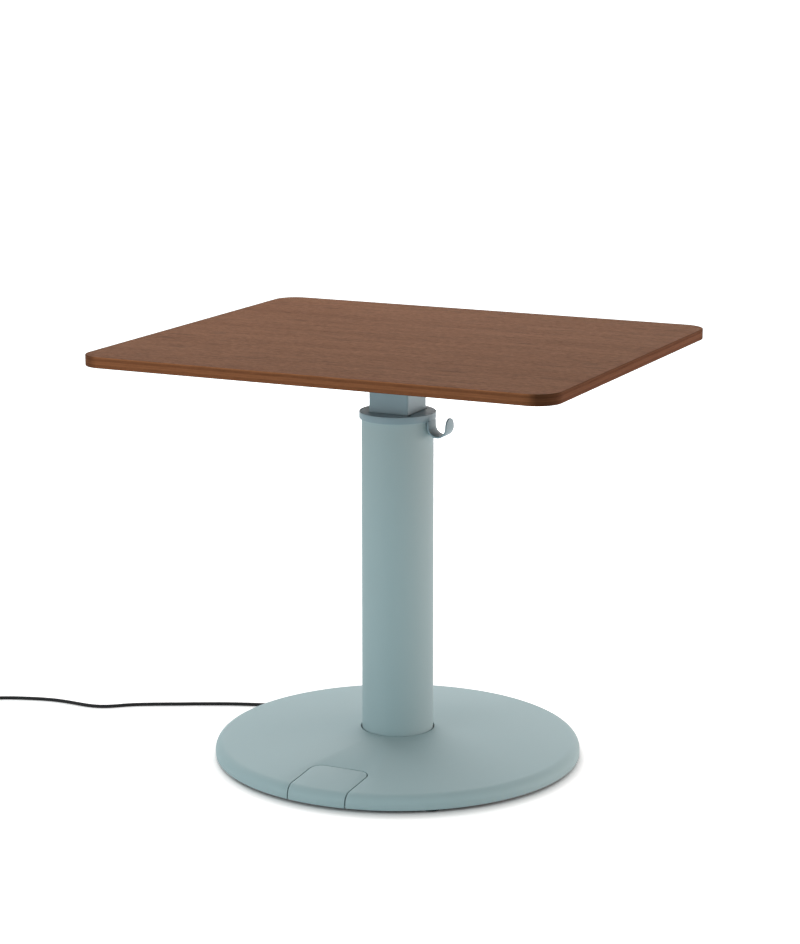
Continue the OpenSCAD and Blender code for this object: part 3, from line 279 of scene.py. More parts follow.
@once
def stacked_plies(name):
    """Edge of plywood: plies that change tone, streaks along the edge and darker ends, with a painted
    highlight along the upper arris, painted shade along the lower one and painted shade at the right corners.
    """
    tree, wants, end = group(name, [
        ("Colour", "Color", (0.3, 0.2, 0.1, 1.0)), ("Grain", "Color", (0.2, 0.1, 0.05, 1.0)),
        ("Ply", "Float", 0.003), ("Lower face", "Float", 0.672), ("Upper face", "Float", 0.690)])
    place = on_piece(tree)
    axes = add(tree, "SeparateXYZ", {0: place}).outputs
    across, along, level = sums(tree, "ABSOLUTE", axes["X"]), sums(tree, "ABSOLUTE", axes["Y"]), axes["Z"]
    drift = times(tree, minus(tree, noise(tree, place, 14.0, 2.0), 0.5), 0.0009)
    raised = minus(tree, level, wants["Lower face"])
    count = sums(tree, "DIVIDE", plus(tree, raised, drift), wants["Ply"])
    ply = add(tree, "TexWhiteNoise", {"W": sums(tree, "FLOOR", count)}, noise_dimensions="1D").outputs[0]
    glue = ranged(tree, sums(tree, "PINGPONG", count, 0.5), 0.0, 0.12, 0.80, 1.0)
    # Painted highlight: a lighter band just below the upper face, turning darker at the ends. Painted shade:
    # a darker band just above the lower face.
    upper = ranged(tree, minus(tree, wants["Upper face"], level), 0.0008, 0.0018,
                   ranged(tree, across, *END_GRAIN, 1.5, 0.7), 1.0)
    lower = ranged(tree, raised, 0.0005, 0.0022, 0.55, 1.0)
    glue_and_painted_arris_light = times(tree, times(tree, glue, upper), lower)
    # Painted shade: the edge darkens at its two right corners only, on the +X side; the darker ends are the
    # stain's own.
    corners = times(tree, ranged(tree, axes["X"], *CORNER_X, 0.0, 0.30), ranged(tree, along, *CORNER_Y))
    end_stain_and_painted_corner_shade = times(tree, ranged(tree, across, *END_GRAIN, 1.0, 0.58), minus(tree, 1.0, corners))
    streaks = noise(tree, place, 1.0, 3.0, 0.6, (26.0, 26.0, 900.0))
    mottle = noise(tree, place, 1.0, 3.0, 0.6, (160.0, 160.0, 260.0))
    depth = weighed(tree, (ply, 0.45), (ranged(tree, streaks, 0.3, 0.7), 0.40),
                    (ranged(tree, mottle, 0.3, 0.7), 0.15))
    wood = mixed(tree, depth, wants["Grain"], wants["Colour"])
    return put_out(tree, end, mixed(tree, 1.0, wood, times(tree, glue_and_painted_arris_light, end_stain_and_painted_corner_shade), "MULTIPLY"),
                   ranged(tree, depth, 0.2, 0.8, 0.70, 0.62), plus(tree, streaks, times(tree, glue, 0.5)))


SHARED = {"grain": fine_grain, "metal": worked_metal, "veneer": veneer_grain, "plies": stacked_plies}


# Finishes

def finish_of(name, look, values, bump, deep, **shader):
    """A material: one shared group and its bump, so strong and so deep, into a Principled shader."""
    found = bpy.data.materials.get(name)
    if found:
        return found
    made = bpy.data.materials.new(name)
    made.use_nodes = True
    tree = made.node_tree
    surface = tree.nodes["Principled BSDF"]
    for socket, value in shader.items():
        surface.inputs[socket.replace("_", " ")].default_value = value
    outputs = placed(tree, look, values)
    relief = add(tree, "Bump", {"Strength": bump, "Distance": deep, "Height": outputs["Height"]})
    fill(tree, surface, {"Base Color": outputs["Colour"], "Roughness": outputs["Roughness"],
                         "Normal": relief.outputs[0]})
    return made


def with_alpha(value):
    return tuple(value) + (1.0,)


def coating(name, shade, roughness, gloss):
    return finish_of(name, "grain", {
        "Colour": with_alpha(shade), "Shade": 0.022, "Grain size": 0.0007, "Roughness": roughness,
        "Unevenness": 0.10}, bump=0.10, deep=0.0002, Specular_IOR_Level=gloss)


def moulding(name, shade, roughness, grain=0.0005, bump=0.12):
    return finish_of(name, "grain", {
        "Colour": with_alpha(shade), "Shade": 0.06, "Grain size": grain, "Roughness": roughness,
        "Unevenness": 0.12}, bump=bump, deep=0.0002, Specular_IOR_Level=0.3)


def bare_metal(name, shade, roughness, lines=(300.0, 300.0, 2500.0)):
    return finish_of(name, "metal", {
        "Colour": with_alpha(shade), "Lines": lines, "Shade": 0.18, "Roughness": roughness},
        bump=0.08, deep=0.0001, Metallic=1.0)


def veneer_face():
    return finish_of("stained veneer", "veneer", {
        "Colour": with_alpha(colours().veneer), "Grain": with_alpha(colours().veneer_dark)},
        bump=0.10, deep=0.0003, Specular_IOR_Level=0.01)


def plywood_edge():
    low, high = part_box("tabletop")
    return finish_of("stained ply edge", "plies", {
        "Colour": with_alpha(colours().edge), "Grain": with_alpha(colours().edge_dark),
        "Ply": sizes().ply, "Lower face": low.z, "Upper face": high.z},
        bump=0.14, deep=0.0003, Specular_IOR_Level=0.04)


def slot_finish(slot):
    """The material for one of the record's material slots."""
    made = {
        "coated_metal": lambda: coating("blue-grey powder coat", colours().coat, 0.62, 0.22),
        "coated_dark": lambda: coating("darker blue-grey powder coat", colours().dark_coat, 0.46, 0.40),
        "wood": veneer_face,
        "ballast": lambda: moulding("painted ballast steel", paint(60, 62, 64), 0.55, 0.0012, 0.2),
        "steel": lambda: bare_metal("zinc-plated steel", paint(196, 199, 201), 0.33),
        "dark_steel": lambda: bare_metal("blackened steel", paint(92, 93, 96), 0.42),
        "alloy": lambda: bare_metal("cast aluminium", paint(186, 188, 190), 0.48, (700.0, 700.0, 700.0)),
        "bronze": lambda: bare_metal("turned bronze", paint(190, 150, 92), 0.36),
        "guide_plastic": lambda: moulding("black acetal", paint(38, 38, 40), 0.45, 0.0008, 0.05),
        "black_plastic": lambda: moulding("black moulded plastic", paint(36, 37, 39), 0.50),
        "glide_plastic": lambda: moulding("dark glide plastic", colours().glide, 0.58, 0.0009, 0.18),
        "black_rubber": lambda: moulding("black rubber", paint(33, 33, 34), 0.72, 0.0010, 0.20),
        "cord_jacket": lambda: moulding("black cord jacket", colours().cord, 0.66, 0.0006, 0.10),
        "board_green": lambda: moulding("green circuit board", paint(34, 92, 62), 0.36, 0.0020, 0.10),
    }
    return made[slot]()


# Making meshes

def piece(name, mesh, body, slot, *stands_for):
    """Shows a finished mesh as one piece of the desk, in the place of the CAD nodes that it stands for."""
    made = bpy.data.objects.new(name, mesh)
    bpy.context.scene.collection.objects.link(made)
    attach(made, body)
    if stands_for:
        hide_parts(*stands_for)
    if not mesh.materials:
        mesh.materials.append(slot_finish(slot))
    return made


def mesh_from(bm, name, smooth_under=35.0):
    """Ends a bmesh: normals out, edges blunter than the angle smooth."""
    bmesh.ops.remove_doubles(bm, verts=bm.verts, dist=1e-6)
    bmesh.ops.recalc_face_normals(bm, faces=bm.faces)
    for face in bm.faces:
        face.smooth = True
    for edge in bm.edges:
        if len(edge.link_faces) == 2:
            edge.smooth = edge.calc_face_angle(0.0) < math.radians(smooth_under)
    mesh = bpy.data.meshes.new(name)
    bm.to_mesh(mesh)
    bm.free()
    return mesh


def flats_kept(mesh):
    """Shades the faces that lie square to an axis flat, so that the rounds beside them don't bend them."""
    for face in mesh.polygons:
        if max(abs(part) for part in face.normal) > 0.9999:
            face.use_smooth = False
    return mesh


def sharp_edges(bm, over):
    """Edges whose two faces meet at more than so many degrees."""
    return [edge for edge in bm.edges
            if len(edge.link_faces) == 2 and edge.calc_face_angle(0.0) > math.radians(over)]


def round_edges(bm, edges, size, steps):
    bmesh.ops.bevel(bm, geom=edges, offset=size, offset_type="OFFSET", segments=steps, affect="EDGES",
                    profile=0.5, clamp_overlap=True, material=-1)


def softened(node, body, slot, size):
    """A CAD node, its loose triangles joined into whole faces, with its sharp edges rounded a little."""
    bm = bmesh.new()
    bm.from_mesh(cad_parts[node].data)
    bmesh.ops.remove_doubles(bm, verts=bm.verts, dist=2e-6)
    bmesh.ops.dissolve_limit(bm, angle_limit=math.radians(0.3), verts=bm.verts, edges=bm.edges)
    round_edges(bm, sharp_edges(bm, 40), size, 2)
    return piece(node + "_soft", flats_kept(mesh_from(bm, node + "_soft")), body, slot, node)


def pull(bm, edges, move=(0, 0, 0), turn=None, about=(0, 0, 0), scale=None):
    """Extrudes a closed loop of edges and moves, turns or scales the new one about a point."""
    made = bmesh.ops.extrude_edge_only(bm, edges=edges)["geom"]
    verts = [v for v in made if isinstance(v, bmesh.types.BMVert)]
    if turn:
        bmesh.ops.rotate(bm, verts=verts, cent=about, matrix=turn)
    if scale:
        bmesh.ops.scale(bm, verts=verts, vec=scale, space=Matrix.Translation(-Vector(about)))
    bmesh.ops.translate(bm, verts=verts, vec=move)
    return [e for e in made if isinstance(e, bmesh.types.BMEdge)]


# Worktop

def worktop():
    """Plywood panel with round corners, a soft arris and its own edge material."""
    low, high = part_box("tabletop")
    size, middle = high - low, (high + low) / 2
    bm = bmesh.new()
    bmesh.ops.create_cube(bm, size=1.0)
    bmesh.ops.scale(bm, verts=bm.verts, vec=size)
    bmesh.ops.translate(bm, verts=bm.verts, vec=middle)
    upright = [e for e in bm.edges if abs(e.verts[0].co.z - e.verts[1].co.z) > size.z / 2]
    round_edges(bm, upright, sizes().corner, 16)
    rims = [e for e in bm.edges if any(abs(f.normal.z) > 0.9 for f in e.link_faces)
            and not all(abs(f.normal.z) > 0.9 for f in e.link_faces)]
    round_edges(bm, rims, sizes().arris, 3)
    bm.normal_update()
    for face in bm.faces:
        face.material_index = 0 if abs(face.normal.z) > 0.92 else 1
    mesh = mesh_from(bm, "worktop_panel", 50.0)
    for face in mesh.polygons:
        if len(face.vertices) > 4:
            face.use_smooth = False
    mesh.materials.append(veneer_face())
    mesh.materials.append(plywood_edge())
    return piece("worktop_panel", mesh, "lift", "wood", "tabletop")


# Bag hook: a narrow tab behind the collar, then a strap down the column, round the bend and up into a tip
HOOK = {"top": 0.5670, "bend": 0.5583, "face": 0.0588, "thick": 0.0028, "radius": 0.0145, "width": 0.030,
        "tab_top": 0.5730, "tab_width": 0.016, "tab_thick": 0.0022,
        "bend_steps": 24, "tip_steps": 12, "tip_turn": math.radians(86)}


def bag_hook():
    """Bent strap with softened edges, drawn as one section that is pulled along its line."""
    half = HOOK["width"] / 2
    inner, outer = HOOK["face"], HOOK["face"] + HOOK["thick"]
    centre = Vector((outer + HOOK["radius"], COLUMN_Y, HOOK["bend"]))
    bm = bmesh.new()
    bmesh.ops.create_grid(bm, x_segments=1, y_segments=1, size=0.5)
    bmesh.ops.scale(bm, verts=bm.verts, vec=(HOOK["tab_thick"], HOOK["tab_width"], 1))
    bmesh.ops.translate(bm, verts=bm.verts, vec=(inner + HOOK["tab_thick"] / 2, COLUMN_Y, HOOK["tab_top"]))
    loop = pull(bm, list(bm.edges), move=(0, 0, HOOK["top"] - HOOK["tab_top"]))
    loop = pull(bm, loop, about=(inner, COLUMN_Y, HOOK["top"]),
                scale=(HOOK["thick"] / HOOK["tab_thick"], HOOK["width"] / HOOK["tab_width"], 1))
    loop = pull(bm, loop, move=(0, 0, HOOK["bend"] - HOOK["top"]))
    for _ in range(HOOK["bend_steps"]):
        loop = pull(bm, loop, turn=Matrix.Rotation(-math.pi / HOOK["bend_steps"], 3, "Y"), about=centre)
    width = half
    for step in range(1, HOOK["tip_steps"] + 1):
        before, angle = [s / HOOK["tip_steps"] * HOOK["tip_turn"] for s in (step - 1, step)]
        rise = half * (math.sin(angle) - math.sin(before))
        loop = pull(bm, loop, move=(0, 0, rise), about=centre, scale=(1, half * math.cos(angle) / width, 1))
        width = half * math.cos(angle)
    bmesh.ops.edgeloop_fill(bm, edges=loop)
    bmesh.ops.recalc_face_normals(bm, faces=bm.faces)
    below_tab = [e for e in sharp_edges(bm, 50) if min(v.co.z for v in e.verts) < HOOK["top"] + MM]
    round_edges(bm, below_tab, sizes().sheet_edge, 3)
    return piece("bag_hook_strap", mesh_from(bm, "bag_hook_strap"), "base", "coated_dark", "bag_hook")


# Column tube and collar

COLUMN_WALL = 0.0028
# The collar: its flange's lower face, its spigot's radius, the rounds of its rim, and its square mouth as
# the half sides at the chamfer, in the mouth and of the pocket for the guide, with how deep each reaches
COLLAR = {"flange": 0.5670, "spigot": 0.0558, "upper_round": 0.0012, "lower_round": 0.0006,
          "chamfer": 0.0373, "mouth": 0.0366, "pocket": 0.0375, "chamfer_deep": 0.0007, "mouth_deep": 0.005}


def loop_of(bm, level, radius=None, square=None, corners=96):
    """A closed loop round the column: a circle, or a square of that half side, with as many points."""
    made = bmesh.ops.create_circle(bm, segments=corners, radius=radius or 1.0)["verts"]
    if square:
        for vert in made:
            vert.co *= square / max(abs(vert.co.x), abs(vert.co.y))
    bmesh.ops.translate(bm, verts=made, vec=(0, COLUMN_Y, level))
    return list({edge for vert in made for edge in vert.link_edges})


def lofted(name, loops, body, slot, *stands_for):
    """A closed wall through loops, each (level, radius) or (level, None, half side)."""
    bm = bmesh.new()
    made = [loop_of(bm, *loop) for loop in loops]
    for first, second in zip(made, made[1:] + made[:1]):
        bmesh.ops.bridge_loops(bm, edges=first + second)
    return piece(name, flats_kept(mesh_from(bm, name)), body, slot, *stands_for)


def rounded(level, radius, size, start, steps=4):
    """Loops of a small quarter round, (level, radius), about a centre, from the start angle in degrees."""
    angles = [math.radians(start + 90 * i / steps) for i in range(steps + 1)]
    return [(level + size * math.sin(angle), radius + size * math.cos(angle)) for angle in angles]


def column_and_collar():
    low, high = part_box("column_tube")
    radius = (high.x - low.x) / 2
    inside = radius - COLUMN_WALL
    lofted("column_sleeve", [(low.z, radius), (high.z, radius), (high.z, inside), (low.z, inside)],
           "base", "coated_metal", "column_tube")
    low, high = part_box("collar")
    radius, flange = (high.x - low.x) / 2, COLLAR["flange"]
    upper, lower = COLLAR["upper_round"], COLLAR["lower_round"]
    floor = high.z - COLLAR["mouth_deep"]
    lofted("collar_ring", [
        (low.z, COLLAR["spigot"]), (flange, COLLAR["spigot"]),
        *rounded(flange + lower, radius - lower, lower, -90),
        *rounded(high.z - upper, radius - upper, upper, 0),
        (high.z, None, COLLAR["chamfer"]), (high.z - COLLAR["chamfer_deep"], None, COLLAR["mouth"]),
        (floor, None, COLLAR["mouth"]), (floor, None, COLLAR["pocket"]), (low.z, None, COLLAR["pocket"])],
        "base", "coated_dark", "collar")


# Pedal springs

SPRING_PLACES = [(x, y) for x in (-0.018, 0.018) for y in (-0.213, -0.245)]


def pedal_springs():
    """Four compression springs of round wire."""
    low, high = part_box("pedal_springs")
    wire, radius, turns, steps = sizes().spring_wire / 2, 0.0035, 5, 20
    bm = bmesh.new()
    for x, y in SPRING_PLACES:
        foot = Vector((x, COLUMN_Y + y, 0))
        start = Matrix.Translation((foot.x + radius, foot.y, low.z + wire)) @ Matrix.Rotation(
            math.pi / 2, 4, "X")
        ring = bmesh.ops.create_circle(bm, segments=8, radius=wire, matrix=start, cap_ends=True)["verts"]
        face = ring[0].link_faces[0]
        bmesh.ops.spin(bm, geom=[face] + list(face.edges) + list(face.verts), cent=foot, axis=(0, 0, 1),
                       dvec=(0, 0, (high.z - low.z - 2 * wire) / (turns * steps)),
                       angle=2 * math.pi * turns, steps=turns * steps, use_duplicate=False)
    made = piece("pedal_spring_wires", mesh_from(bm, "pedal_spring_wires", 60.0), "base", "steel",
                 "pedal_springs")
    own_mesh(made)


# Cord and leads, in millimetres

# Route of the mains cord on the floor, as in the model's source
CORD_EXIT = (-107, 139, 19)
CORD_ROUTE = [
    (-126, 139, 18.5), (-146, 139, 15.5), (-166, 139, 11), (-186, 138, 6.5), (-206, 135, 4), (-226, 130, 3.2),
    (-248, 123, 3.2), (-271, 116, 3.2), (-296, 108, 3.2), (-321, 99, 3.2), (-344, 91, 3.2), (-366, 83, 3.2),
    (-387, 74, 3.2), (-408, 64, 3.2), (-431, 53, 3.2), (-454, 41, 3.2), (-478, 29, 3.2), (-501, 17, 3.2),
    (-519, 7, 3.2), (-535, -4, 3.2), (-549, -16, 3.2), (-563, -26, 3.2), (-580, -33, 3.2), (-600, -35, 3.2),
    (-622, -34, 3.2), (-644, -33, 3.2), (-666, -34, 3.2), (-688, -38, 3.2), (-709, -44, 3.2),
    (-730, -51, 3.2), (-749, -59, 3.2), (-767, -69, 3.2), (-784, -82, 3.2), (-799, -99, 3.2),
    (-810, -120, 3.2)]
COIL = {"x": -770, "y": -160, "start": 168, "turns": 7 + 42 / 360, "radius": 49, "step": 6.7,
        "level": 3.385, "layer": 6.8, "steps": 60}
CORD_MM = 6.2
TAIL_MM = 84
TAIL_SHAPE = [(0, 0), (0.24, 0.03), (0.5, 0.42), (0.76, 0.95), (1, 1)]
PLUG_LEVEL = 18.6

# Routes of the leads inside the base: to the motor, and about the column to the pedal's sensor
MOTOR_ROUTE = [(0, 96, 20.2), (0, 84, 20.2), (0, 72, 20.2), (0, 59, 20.2), (0, 46, 20.2),
               (0, 33, 20.5), (0, 23, 23.2), (0, 15, 28.2), (0, 9, 32), (0, 7, 32)]
SENSOR_LEVEL = 18.2
SENSOR_START = [(-40, 117, SENSOR_LEVEL), (-42, 104, SENSOR_LEVEL)]
SENSOR_RING = 108
SENSOR_STRAIGHT_TO = (-56.75, -233, 0)
SENSOR_END = [(-49.25, -252, SENSOR_LEVEL), (-34.25, -262, SENSOR_LEVEL + 0.3),
              (-20.6, -262, SENSOR_LEVEL + 2.8)]


def smooth_line(points, steps):
    """Points of a smooth curve through the chosen ones, with so many steps for each stretch."""
    points = [Vector(p) for p in points]
    line = []
    for i in range(len(points) - 1):
        before = points[i - 1] if i else 2 * points[0] - points[1]
        after = points[i + 2] if i + 2 < len(points) else 2 * points[-1] - points[-2]
        for step in range(steps):
            t = step / steps
            line.append(0.5 * (2 * points[i] + (points[i + 1] - before) * t
                               + (2 * before - 5 * points[i] + 4 * points[i + 1] - after) * t * t
                               + (3 * points[i] - before - 3 * points[i + 1] + after) * t ** 3))
    return line + [points[-1]]


def tube_along(name, line, diameter):
    """The mesh of a round lead that follows a line."""
    curve = bpy.data.curves.new(name, "CURVE")
    curve.dimensions = "3D"
    curve.bevel_depth = diameter / 2
    curve.bevel_resolution = 4
    curve.use_fill_caps = True
    spline = curve.splines.new("POLY")
    spline.points.add(len(line) - 1)
    for place, point in zip(line, spline.points):
        point.co = (*place, 1.0)
    spline.use_smooth = True
    wire = bpy.data.objects.new(name, curve)
    mesh = bpy.data.meshes.new_from_object(wire)
    bpy.data.objects.remove(wire)
    bpy.data.curves.remove(curve)
    mesh.name = name
    return mesh


def heading(degrees):
    return Vector((math.cos(math.radians(degrees)), math.sin(math.radians(degrees)), 0))


def coil_point(turn):
    """Place on the coil after so many turns: it winds in, climbs a layer and winds out again."""
    middle = COIL["turns"] / 2
    radius = COIL["radius"] - COIL["step"] * (middle - abs(turn - middle))
    climb = max(0.0, min(1.0, (turn - middle) / 0.5 + 0.5))
    climb = climb * climb * (3 - 2 * climb)
    return Vector((COIL["x"], COIL["y"], COIL["level"] + COIL["layer"] * climb)) + radius * heading(
        COIL["start"] + 360 * turn)


def cord_line():
    """The whole centreline of the mains cord, in metres."""
    count = math.ceil(COIL["turns"] * COIL["steps"])
    coil = [coil_point(COIL["turns"] * i / count) for i in range(count + 1)]
    tail_way = heading(COIL["start"] + 360 * COIL["turns"] + 90)
    coil_in = coil[0] - CORD_MM * heading(COIL["start"] + 90)
    coil_out = coil[-1] + CORD_MM * tail_way
    rise = PLUG_LEVEL - coil_out.z
    tail = [coil_out + along * TAIL_MM * tail_way + Vector((0, 0, up * rise)) for along, up in TAIL_SHAPE]
    line = smooth_line([CORD_EXIT] + CORD_ROUTE + [coil_in], 5) + coil + smooth_line(tail, 8)
    return [point * MM for point in line]


def mains_cord():
    line = cord_line()
    made = piece("mains_lead", tube_along("mains_lead", line, sizes().cord), "base", "cord_jacket",
                 "mains_cord", "cord_coil")


def sensor_route():
    """From the control box round the column's foot, and straight on to the sensor's board."""
    up = Vector((0, 0, SENSOR_LEVEL))
    leave, arrive = SENSOR_RING * heading(195), Vector(SENSOR_STRAIGHT_TO)
    route = SENSOR_START + [SENSOR_RING * heading(angle) + up for angle in range(120, 181, 15)]
    route += [leave.lerp(arrive, i / 6) + up for i in range(7)] + SENSOR_END
    return [(x, y + COLUMN_Y_MM, z) for x, y, z in route]


def inner_leads():
    """The leads to the motor and to the pedal's sensor, held inside the base."""
    for name, route, diameter, node in (
            ("motor_cable", MOTOR_ROUTE, sizes().motor_lead, "motor_lead"),
            ("pedal_cable", sensor_route(), sizes().sensor_lead, "sensor_lead")):
        line = [point * MM for point in smooth_line(route, 4)]
        piece(name, tube_along(name, line, diameter), "base", "cord_jacket", node)


# Stage

CAMERA_PLACE = (1.73732, -3.67330, 1.36451)
CAMERA_TURN = (77.614, 0.0, 25.386)
CAMERA_LENS = 97.2

# Soft lights: name, place, size, watts and tint; they all look at one point
SOFTBOXES = [
    ("back_softbox", (-0.4, 2.8, 1.7), (2.2, 2.0), 27.0, (1.0, 1.0, 1.0)),
    ("left_back_softbox", (-1.8, 1.7, 2.1), (1.6, 1.6), 28.5, (1.0, 1.0, 1.0)),
    ("front_left_softbox", (-1.6, -2.6, 0.8), (1.6, 1.2), 16.5, (0.97, 1.0, 1.0)),
    ("low_right_softbox", (2.5, 1.0, 0.45), (1.8, 0.8), 21.0, (1.0, 0.79, 0.71)),
    ("top_softbox", (0.0, -0.4, 3.2), (2.4, 2.4), 10.5, (1.0, 1.0, 1.0)),
]
LIT_POINT = Vector((0, 0, 0.35))
WORLD_STRENGTH = 0.48
WORLD_TINT = (0.73, 0.98, 1.0, 1.0)
WHITE = (1.0, 1.0, 1.0, 1.0)

# The floor as it lights the desk, and as it is seen, which counts twice
FLOOR_COLOUR = (0.95, 0.96, 0.96, 1.0)
FLOOR_SEEN = (0.60, 0.535, 0.53, 1.0)
# White that the seen floor gains, (from, to, how much): by the distance past the base's rim, and from the
# base's middle. The white past the rim is painted light that washes out the base's soft shadow; its middle is
# shifted towards the front, so that the shadow stays in front of the base and is washed out at the sides and
# behind
RIM_PAINTED_LIGHT = (-0.013, 0.010, 0.43)
FAR_WHITE = (0.9, 3.0, 0.60)
SHADE_SHIFT = Vector((0.0077, -0.0163, 0.0))


def seen_directly(tree):
    """1 for camera, glossy and transmission rays."""
    path = add(tree, "LightPath").outputs
    return sums(tree, "MAXIMUM", path["Is Camera Ray"],
                sums(tree, "MAXIMUM", path["Is Glossy Ray"], path["Is Transmission Ray"]))


def floor_material():
    made = bpy.data.materials.new("white studio floor")
    made.use_nodes = True
    tree = made.node_tree
    tree.nodes.remove(tree.nodes["Principled BSDF"])
    plain = add(tree, "BsdfDiffuse", {"Color": FLOOR_COLOUR})
    half = add(tree, "BsdfDiffuse", {"Color": FLOOR_SEEN})
    doubled = add(tree, "AddShader", {0: half.outputs[0], 1: half.outputs[0]})
    low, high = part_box("base_cover")
    middle = Vector(((low.x + high.x) / 2, (low.y + high.y) / 2, 0.0)) + SHADE_SHIFT
    away = add(tree, "VectorMath", {0: on_piece(tree), 1: middle}, operation="DISTANCE").outputs["Value"]
    rim = (high.x - low.x) / 2
    # Painted light: the seen floor glows past the base's rim, which washes out the base's soft shadow there.
    painted_rim_light = ranged(tree, away, rim + RIM_PAINTED_LIGHT[0], rim + RIM_PAINTED_LIGHT[1], 0.0, RIM_PAINTED_LIGHT[2])
    far = ranged(tree, away, FAR_WHITE[0], FAR_WHITE[1], 0.0, FAR_WHITE[2])
    glow = add(tree, "Emission", {"Color": WHITE, "Strength": plus(tree, painted_rim_light, far)})
    shown = add(tree, "AddShader", {0: doubled.outputs[0], 1: glow.outputs[0]})
    both = add(tree, "MixShader", {0: seen_directly(tree), 1: plain.outputs[0], 2: shown.outputs[0]})
    fill(tree, tree.nodes["Material Output"], {"Surface": both.outputs[0]})
    return made


def studio_floor(scene):
    bm = bmesh.new()
    bmesh.ops.create_grid(bm, x_segments=1, y_segments=1, size=40.0)
    mesh = bpy.data.meshes.new("studio_floor")
    bm.to_mesh(mesh)
    bm.free()
    mesh.materials.append(floor_material())
    floor = bpy.data.objects.new("studio_floor", mesh)
    scene.collection.objects.link(floor)


def studio_world(scene):
    """White where it is seen directly, and a dimmer cool light on the desk."""
    world = bpy.data.worlds.new("white studio")
    scene.world = world
    world.use_nodes = True
    tree = world.node_tree
    direct = seen_directly(tree)
    strength = add(tree, "Mix", {0: direct, 2: WORLD_STRENGTH, 3: 1.0}, data_type="FLOAT").outputs[0]
    fill(tree, tree.nodes["Background"], {
        "Strength": strength, "Color": mixed(tree, direct, WORLD_TINT, WHITE)})


def softboxes(scene):
    for name, place, size, watts, tint in SOFTBOXES:
        lamp = bpy.data.lights.new(name, "AREA")
        lamp.shape, lamp.size, lamp.size_y, lamp.energy = "RECTANGLE", size[0], size[1], watts
        lamp.color = tint
        made = bpy.data.objects.new(name, lamp)
        made.location = place
        made.rotation_euler = (LIT_POINT - Vector(place)).to_track_quat("-Z", "Y").to_euler()
        made.visible_camera = False
        scene.collection.objects.link(made)


# Operators

class DESK_OT_camera(bpy.types.Operator):
    """Make the camera that frames the desk"""
    bl_idname = "desk.camera"
    bl_label = "Camera"

    def execute(self, context):
        view = bpy.data.cameras.new("desk_view")
        view.lens, view.sensor_width, view.sensor_fit = CAMERA_LENS, 36.0, "AUTO"
        view.clip_start, view.clip_end = 0.05, 200.0
        made = bpy.data.objects.new("desk_view", view)
        made.location = CAMERA_PLACE
        made.rotation_euler = [math.radians(angle) for angle in CAMERA_TURN]
        context.scene.collection.objects.link(made)
        context.scene.camera = made
        return {"FINISHED"}


class DESK_OT_mains_cord(bpy.types.Operator):
    """Make the mains cord with its stored coil"""
    bl_idname = "desk.mains_cord"
    bl_label = "Mains cord"

    def execute(self, context):
        mains_cord()
        return {"FINISHED"}


class DESK_OT_worktop(bpy.types.Operator):
    """Make the plywood worktop"""
    bl_idname = "desk.worktop"
    bl_label = "Worktop"

    def execute(self, context):
        worktop()
        return {"FINISHED"}


class DESK_OT_column(bpy.types.Operator):
    """Make the column, its collar and the square tube"""
    bl_idname = "desk.column"
    bl_label = "Column"

    def execute(self, context):
        column_and_collar()
        softened("inner_tube", "lift", "coated_dark", sizes().coat_edge)
        return {"FINISHED"}


class DESK_OT_bag_hook(bpy.types.Operator):
    """Make the bag hook"""
    bl_idname = "desk.bag_hook"
    bl_label = "Bag hook"

    def execute(self, context):
        bag_hook()
        return {"FINISHED"}


class DESK_OT_base(bpy.types.Operator):
    """Make the domed base, its foot pedal and its glides"""
    bl_idname = "desk.base"
    bl_label = "Base and pedal"

    def execute(self, context):
        softened("base_cover", "base", "coated_metal", sizes().coat_edge)
        softened("foot_pedal", "pedal", "coated_metal", sizes().coat_edge)
        softened("glides", "base", "glide_plastic", sizes().moulded_edge)
        return {"FINISHED"}


class DESK_OT_pedal_springs(bpy.types.Operator):
    """Make the pedal's springs"""
    bl_idname = "desk.pedal_springs"
    bl_label = "Pedal springs"

    def execute(self, context):
        pedal_springs()
        return {"FINISHED"}


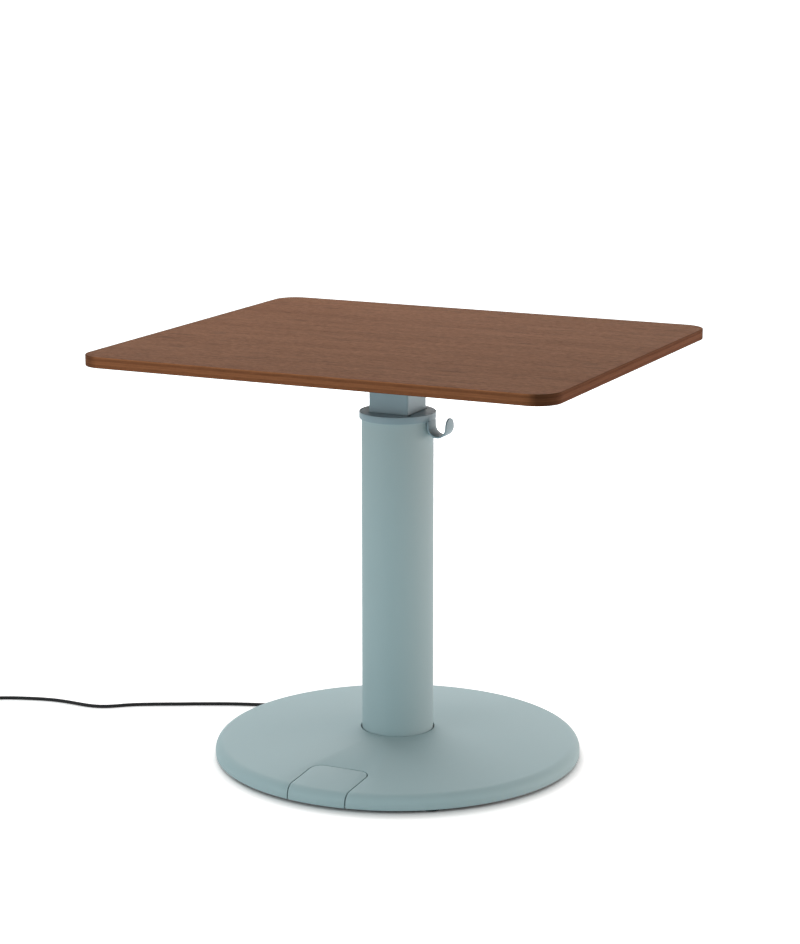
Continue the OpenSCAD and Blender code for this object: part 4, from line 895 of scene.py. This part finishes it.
class DESK_OT_inner_leads(bpy.types.Operator):
    """Make the leads inside the base"""
    bl_idname = "desk.inner_leads"
    bl_label = "Inner leads"

    def execute(self, context):
        inner_leads()
        return {"FINISHED"}


class DESK_OT_finishes(bpy.types.Operator):
    """Give each carried-over part its finish"""
    bl_idname = "desk.finishes"
    bl_label = "Finishes"

    def execute(self, context):
        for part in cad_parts.values():
            for place, slot in enumerate([m.name.split(".")[0] for m in part.data.materials]):
                part.material_slots[place].material = slot_finish(slot)
        return {"FINISHED"}


class DESK_OT_stage(bpy.types.Operator):
    """Make the white floor, the world and the soft lights"""
    bl_idname = "desk.stage"
    bl_label = "Stage"

    def execute(self, context):
        context.scene.view_settings.view_transform = "Standard"
        studio_floor(context.scene)
        studio_world(context.scene)
        softboxes(context.scene)
        return {"FINISHED"}


class DESK_PT_panel(bpy.types.Panel):
    """Lists the desk's pieces, sizes and colours"""
    bl_idname = "DESK_PT_panel"
    bl_label = "Desk"
    bl_space_type = "VIEW_3D"
    bl_region_type = "UI"
    bl_category = "Desk"

    def draw(self, context):
        for step in STEPS:
            self.layout.operator(step.bl_idname)
        for values in (context.scene.desk_sizes, context.scene.desk_colours):
            box = self.layout.box()
            for name in values.__annotations__:
                box.prop(values, name)


STEPS = [DESK_OT_camera, DESK_OT_mains_cord, DESK_OT_worktop, DESK_OT_column, DESK_OT_bag_hook, DESK_OT_base,
         DESK_OT_pedal_springs, DESK_OT_inner_leads, DESK_OT_finishes, DESK_OT_stage]
CLASSES = [DeskSizes, DeskColours, *STEPS, DESK_PT_panel]


def register():
    for made in CLASSES:
        bpy.utils.register_class(made)
    bpy.types.Scene.desk_sizes = bpy.props.PointerProperty(type=DeskSizes)
    bpy.types.Scene.desk_colours = bpy.props.PointerProperty(type=DeskColours)


def unregister():
    del bpy.types.Scene.desk_colours
    del bpy.types.Scene.desk_sizes
    for made in reversed(CLASSES):
        bpy.utils.unregister_class(made)


def main():
    register()
    for step in STEPS:
        group_name, call = step.bl_idname.split(".")
        getattr(getattr(bpy.ops, group_name), call)()
    bpy.context.view_layer.update()


if __name__ == "__main__":
    main()
